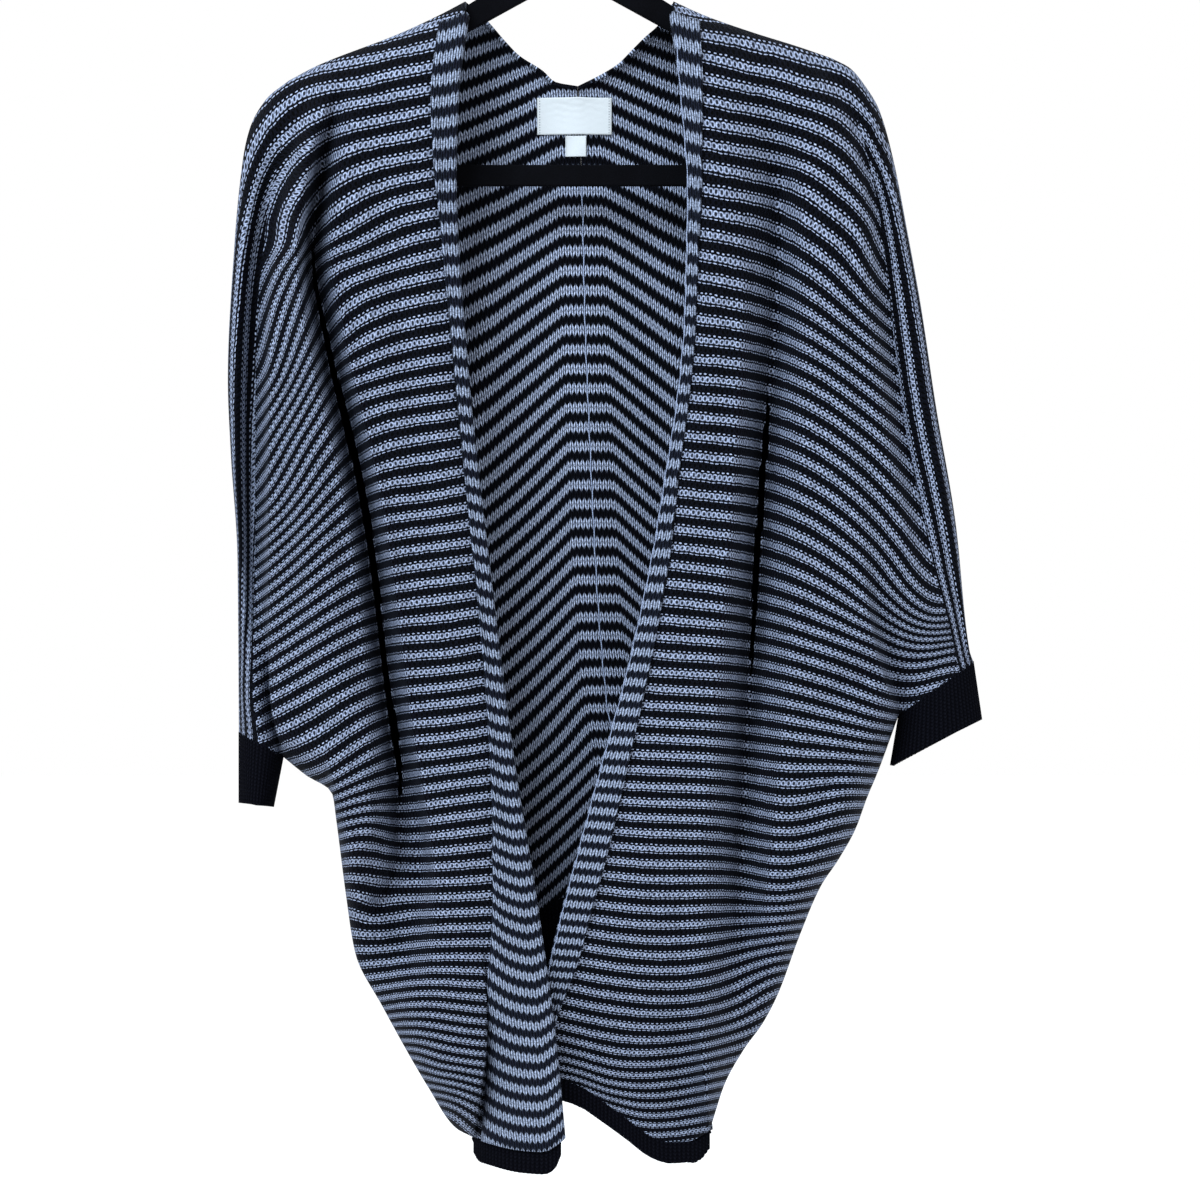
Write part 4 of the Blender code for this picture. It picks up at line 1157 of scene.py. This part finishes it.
def hem_strip(facing, rim, wall, heights, lean):
    """Both faces of a hem's rib: the middle of the panel's rim moved down by level x hang, from a lap inside.

    hang leans sideways where the hem is steep. A front's wall is as its rim's, a back's square to its face.
    """
    hang = np.stack((lean, 0 * lean, -1 + 0 * lean), axis=1)
    hang /= np.linalg.norm(hang, axis=1, keepdims=True)
    middle, through = (rim + wall) / 2, (rim - wall) / 2
    if facing == "back":
        through = np.cross(hang, np.gradient(middle, axis=0))
        through /= np.linalg.norm(through, axis=1, keepdims=True)
        through *= np.sign(through[:, 1].sum()) * WALL / 2 * MM
    start = np.abs(((rim - wall) * hang).sum(axis=1)) - RIB_LAP * MM
    level = start[:, None] + heights[:, None] * np.linspace(0, 1, RIB_LEVELS) * MM
    strip = middle[:, None] + hang[:, None] * level[:, :, None]
    return strip + through[:, None], strip - through[:, None]


def ribbed(outer, inner, trims):
    """Ribs on a strip (place along, level down, xyz): both faces move out by
    relief x |sin(pi x run / pitch)|^0.7, with the UV counting ribs along and stitches down."""
    count = run_of(outer[:, 0]) / (trims.rib_pitch * MM)
    wave = np.abs(np.sin(math.pi * count)) ** RIB_FULLNESS
    square = outer - inner
    square /= np.maximum(np.linalg.norm(square, axis=2, keepdims=True), 1e-9)
    moved = square * (wave[:, None, None] * trims.rib_relief * MM)
    levels = np.linalg.norm(outer - outer[:, :1], axis=2) / (RIB_STITCH * MM)
    uv = np.stack((count[:, None] + 0 * levels, levels), axis=-1)
    return outer + moved - square * 0.3 * trims.rib_relief * MM, inner + moved * 0.6, uv


def resampled(line, spacing, *others):
    """A line's points at even spacing, and other per-point values read at the same places."""
    run = run_of(line)
    wanted = np.linspace(0, run[-1], max(8, int(run[-1] / (spacing * MM))))
    return [np.stack([np.interp(wanted, run, row) for row in np.atleast_2d(values.T)], axis=1).squeeze()
            for values in (line, *others)]


class OBJECT_OT_cardigan_hems(CardiganStep, Operator):
    """Knit the ribs along the lower edges"""
    bl_idname = "object.cardigan_hems"
    bl_label = "Hem ribs"

    def build(self, scene):
        rib = once("wool_blend_rib_knit", rib_material, scene.cardigan_trims)
        for side, facing in PANELS:
            grid = panel_parts(side, facing)
            on_hem = grid["lows"] >= 2 - 1e-9
            place = grid["lows"][on_hem] - 2
            if facing == "front":
                heights, lean = read(FRONT_RIBS[side], place), 0 * place
            else:
                heights = read(BACK_RIBS[side]["height"], place)
                lean = read(BACK_RIBS[side]["lean"], place) * (1 if side == "right" else -1)
            rim, wall = grid["points"][on_hem, -1], grid["inner"][on_hem, -1]
            strip = hem_strip(facing, *resampled(rim, RIB_SPACING, wall, heights, lean))
            outer, inner, uv = ribbed(*strip, scene.cardigan_trims)
            outer, inner = keep_to_side(outer, facing), keep_to_side(inner, facing)
            piece = shell(f"ribbed_{side}_{facing}_hem", outer, inner, uv, grid["flip"], (rib,))
            dress(piece, "rib", f"{side}_{facing}_hem")
            cloth_sheet(piece, outer, f"{side}_{facing}")


class OBJECT_OT_cardigan_cuffs(CardiganStep, Operator):
    """Knit the two cuffs: ribbed tubes between an oval at the sleeve's end and an oval below it"""
    bl_idname = "object.cardigan_cuffs"
    bl_label = "Cuffs"

    def build(self, scene):
        trims = scene.cardigan_trims
        rib = once("wool_blend_rib_knit", rib_material, trims)
        turns = np.linspace(0, 2 * math.pi, CUFF_TURNS, endpoint=False)
        for side in ("right", "left"):
            first, last = oval(side, 0, turns), oval(side, 1, turns)
            length = np.linalg.norm(last - first, axis=1).mean()
            levels = np.linspace(-CUFF_LAP / length, 1, CUFF_LEVELS)
            rings = first[:, None] + (last - first)[:, None] * levels[None, :, None]
            outer = in_place(rings[..., 0], rings[..., 1], rings[..., 2])
            square = facing_out(np.concatenate((outer[-1:], outer, outer[:1])), 1)[1:-1]
            if ((outer - outer.mean(axis=(0, 1))) * square).sum() < 0:
                square = -square
            loop = run_of(np.concatenate((outer[:, 0], outer[:1, 0])))
            ribs = round(loop[-1] / (trims.rib_pitch * MM))
            count = loop[:-1, None] / loop[-1] * ribs + 0 * levels
            wave = np.abs(np.sin(math.pi * count)) ** RIB_FULLNESS - 0.6
            outer = outer + square * wave[..., None] * trims.rib_relief * MM
            uv = np.stack((count, 0 * count + levels * length / RIB_STITCH), axis=-1)
            uv = np.concatenate((uv, uv[:1] + (ribs, 0)))
            piece = shell(f"ribbed_{side}_cuff", outer, outer - square * WALL * MM, uv, side == "right",
                          (rib,), closed=True)
            dress(piece, "rib", f"{side}_cuff")
            cloth_sheet(piece, np.concatenate((outer, outer[:1])), f"{side}_front")


def tape(backs, name, node_name, centre, size, material):
    """A tape on the back's inner face: that face's y nearby, moved forward, with slightly curled ends."""
    u, v = np.meshgrid(np.linspace(-1, 1, 41), np.linspace(-1, 1, 25), indexing="ij")
    across, drop = centre[0] + size[0] / 2 * u, centre[1] + size[1] / 2 * v
    outer = in_place(across, drop, -NECK_DEPTH + 0 * drop)
    known = np.vstack([grid["points"][::2, :60:2].reshape(-1, 3) for grid in backs])
    away = (outer[..., None, 0] - known[:, 0]) ** 2 + (outer[..., None, 2] - known[:, 2]) ** 2
    nearest = np.argsort(away, axis=-1)[..., :6]
    weight = 1 / (np.take_along_axis(away, nearest, -1) + 2e-6)
    y = (known[nearest, 1] * weight).sum(-1) / weight.sum(-1)
    curl = 0.5 * u ** 4 + 0.35 * np.sin(2.2 * u + 1.1 * v)
    outer[..., 1] = y - (WALL + LABEL_WALL + LABEL_CLEAR + curl) * MM
    inner = outer + np.array([0, LABEL_WALL * MM, 0])
    piece = shell(name, outer, inner, np.stack((u, v), axis=-1), True, (material,))
    dress(piece, "label", node_name)
    cloth_sheet(piece, outer, "right_back", "left_back")


class OBJECT_OT_cardigan_neck(CardiganStep, Operator):
    """Make the bare label and tag below the neckline, and the centre back seam's thread"""
    bl_idname = "object.cardigan_neck"
    bl_label = "Neck"

    def build(self, scene):
        satin = once("woven_polyester_label", label_material, scene.cardigan_trims)
        thread = once("polyester_sewing_thread", thread_material, scene.cardigan_trims)
        backs = [panel_parts(side, "back") for side in ("right", "left")]
        tape(backs, "neck_label_tape", "neck_label", LABEL_CENTRE, LABEL_SIZE, satin)
        tape(backs, "size_tag_tape", "size_tag", TAG_CENTRE, TAG_SIZE, satin)
        seam = (backs[0]["inner"][-1] + backs[1]["inner"][-1]) / 2
        below_tag = seam[:, 2] < -THREAD_TOP * MM
        running_stitches("centre_seam_thread", seam[below_tag][:-4], SEAM_THREAD, thread)


class OBJECT_OT_cardigan_hanger(CardiganStep, Operator):
    """Finish the flocked hanger and its wire hook"""
    bl_idname = "object.cardigan_hanger"
    bl_label = "Hanger"

    def build(self, scene):
        for name, slot, make in (("hanger", "velvet", velvet_material),
                                 ("hook", "hook_metal", wire_material)):
            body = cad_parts[name]
            body.data.materials.clear()
            body.data.materials.append(make(scene.cardigan_hanger))


class OBJECT_OT_cardigan_stage(CardiganStep, Operator):
    """Set the floor, the lights and the camera"""
    bl_idname = "object.cardigan_stage"
    bl_label = "Stage"

    def build(self, scene):
        self.floor(scene.cardigan_stage)
        self.room(scene, scene.cardigan_stage)
        self.camera(scene)

    def floor(self, stage):
        """A plain pale floor, 16 m across."""
        half, level = 8.0, -stage.floor_drop
        mesh = bpy.data.meshes.new("floor")
        mesh.from_pydata([(x * half, y * half, level) for x, y in ((-1, -1), (1, -1), (1, 1), (-1, 1))], [],
                         [(0, 1, 2, 3)])
        material, _ = new_material("matt_painted_floor", 0.9, specular=0.2)
        inputs = material.node_tree.nodes["Principled BSDF"].inputs
        inputs["Base Color"].default_value = linear(stage.floor_hex)
        placed("floor", mesh, material)

    def room(self, scene, stage):
        """White light from all round, a large soft cool key from the front left, and weaker fills."""
        world = bpy.data.worlds.new("pale_room")
        world.use_nodes = True
        background = world.node_tree.nodes["Background"]
        background.inputs["Color"].default_value = (1.0, 1.0, 1.0, 1.0)
        background.inputs["Strength"].default_value = stage.world_strength
        scene.world = world
        for name, place, size, power in (
            ("key", (-0.9, -1.7, 0.95), 1.3, stage.key_power),
            ("fill", (1.5, -1.4, -0.4), 1.2, stage.fill_power),
            ("back", (0.6, 1.9, 0.4), 1.4, stage.fill_power),
        ):
            lamp = bpy.data.lights.new(name, "AREA")
            lamp.size, lamp.energy, lamp.color = size, power, LAMP_COLOUR
            holder = placed(name, lamp)
            holder.location = place
            aim = np.array(LAMPS_AIM) - place
            tilt = math.atan2(aim[2], math.hypot(aim[0], aim[1]))
            holder.rotation_euler = (math.pi / 2 + tilt, 0, math.atan2(-aim[0], aim[1]))
        scene.view_settings.view_transform = "Standard"

    def camera(self, scene):
        """Straight in front at the eye's place, with a lens that spans the picture on the hanger's plane."""
        data = bpy.data.cameras.new("camera")
        data.sensor_width = 36.0
        data.lens = data.sensor_width * EYE_DISTANCE / PICTURE_SPAN
        scene.camera = placed("camera", data)
        scene.camera.location = (EYE_ACROSS * MM, -EYE_DISTANCE * MM, -EYE_DROP * MM)
        scene.camera.rotation_euler = (math.pi / 2, 0, 0)


class VIEW3D_PT_cardigan(Panel):
    bl_label = "Cardigan"
    bl_space_type = "VIEW_3D"
    bl_region_type = "UI"
    bl_category = "Cardigan"

    def draw(self, context):
        for step in STEPS:
            self.layout.operator(step.bl_idname)
        for place in SETTINGS:
            settings = getattr(context.scene, place)
            box = self.layout.box()
            for name in settings.__annotations__:
                box.prop(settings, name)


STEPS = (OBJECT_OT_cardigan_stage, OBJECT_OT_cardigan_panels, OBJECT_OT_cardigan_bands,
         OBJECT_OT_cardigan_hems, OBJECT_OT_cardigan_cuffs, OBJECT_OT_cardigan_neck,
         OBJECT_OT_cardigan_hanger)
SETTINGS = {"cardigan_knit": CardiganKnitSettings, "cardigan_trims": CardiganTrimSettings,
            "cardigan_hanger": CardiganHangerSettings, "cardigan_stage": CardiganStageSettings}


def register():
    for place, settings in SETTINGS.items():
        bpy.utils.register_class(settings)
        setattr(bpy.types.Scene, place, PointerProperty(type=settings))
    for step in (*STEPS, VIEW3D_PT_cardigan):
        bpy.utils.register_class(step)


def unregister():
    for step in reversed((*STEPS, VIEW3D_PT_cardigan)):
        bpy.utils.unregister_class(step)
    for place, settings in reversed(SETTINGS.items()):
        delattr(bpy.types.Scene, place)
        bpy.utils.unregister_class(settings)


def main():
    """Registers the add-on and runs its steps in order."""
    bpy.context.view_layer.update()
    register()
    bpy.ops.object.cardigan_stage()
    bpy.ops.object.cardigan_panels()
    bpy.ops.object.cardigan_bands()
    bpy.ops.object.cardigan_hems()
    bpy.ops.object.cardigan_cuffs()
    bpy.ops.object.cardigan_neck()
    bpy.ops.object.cardigan_hanger()


if __name__ == "__main__":
    main()
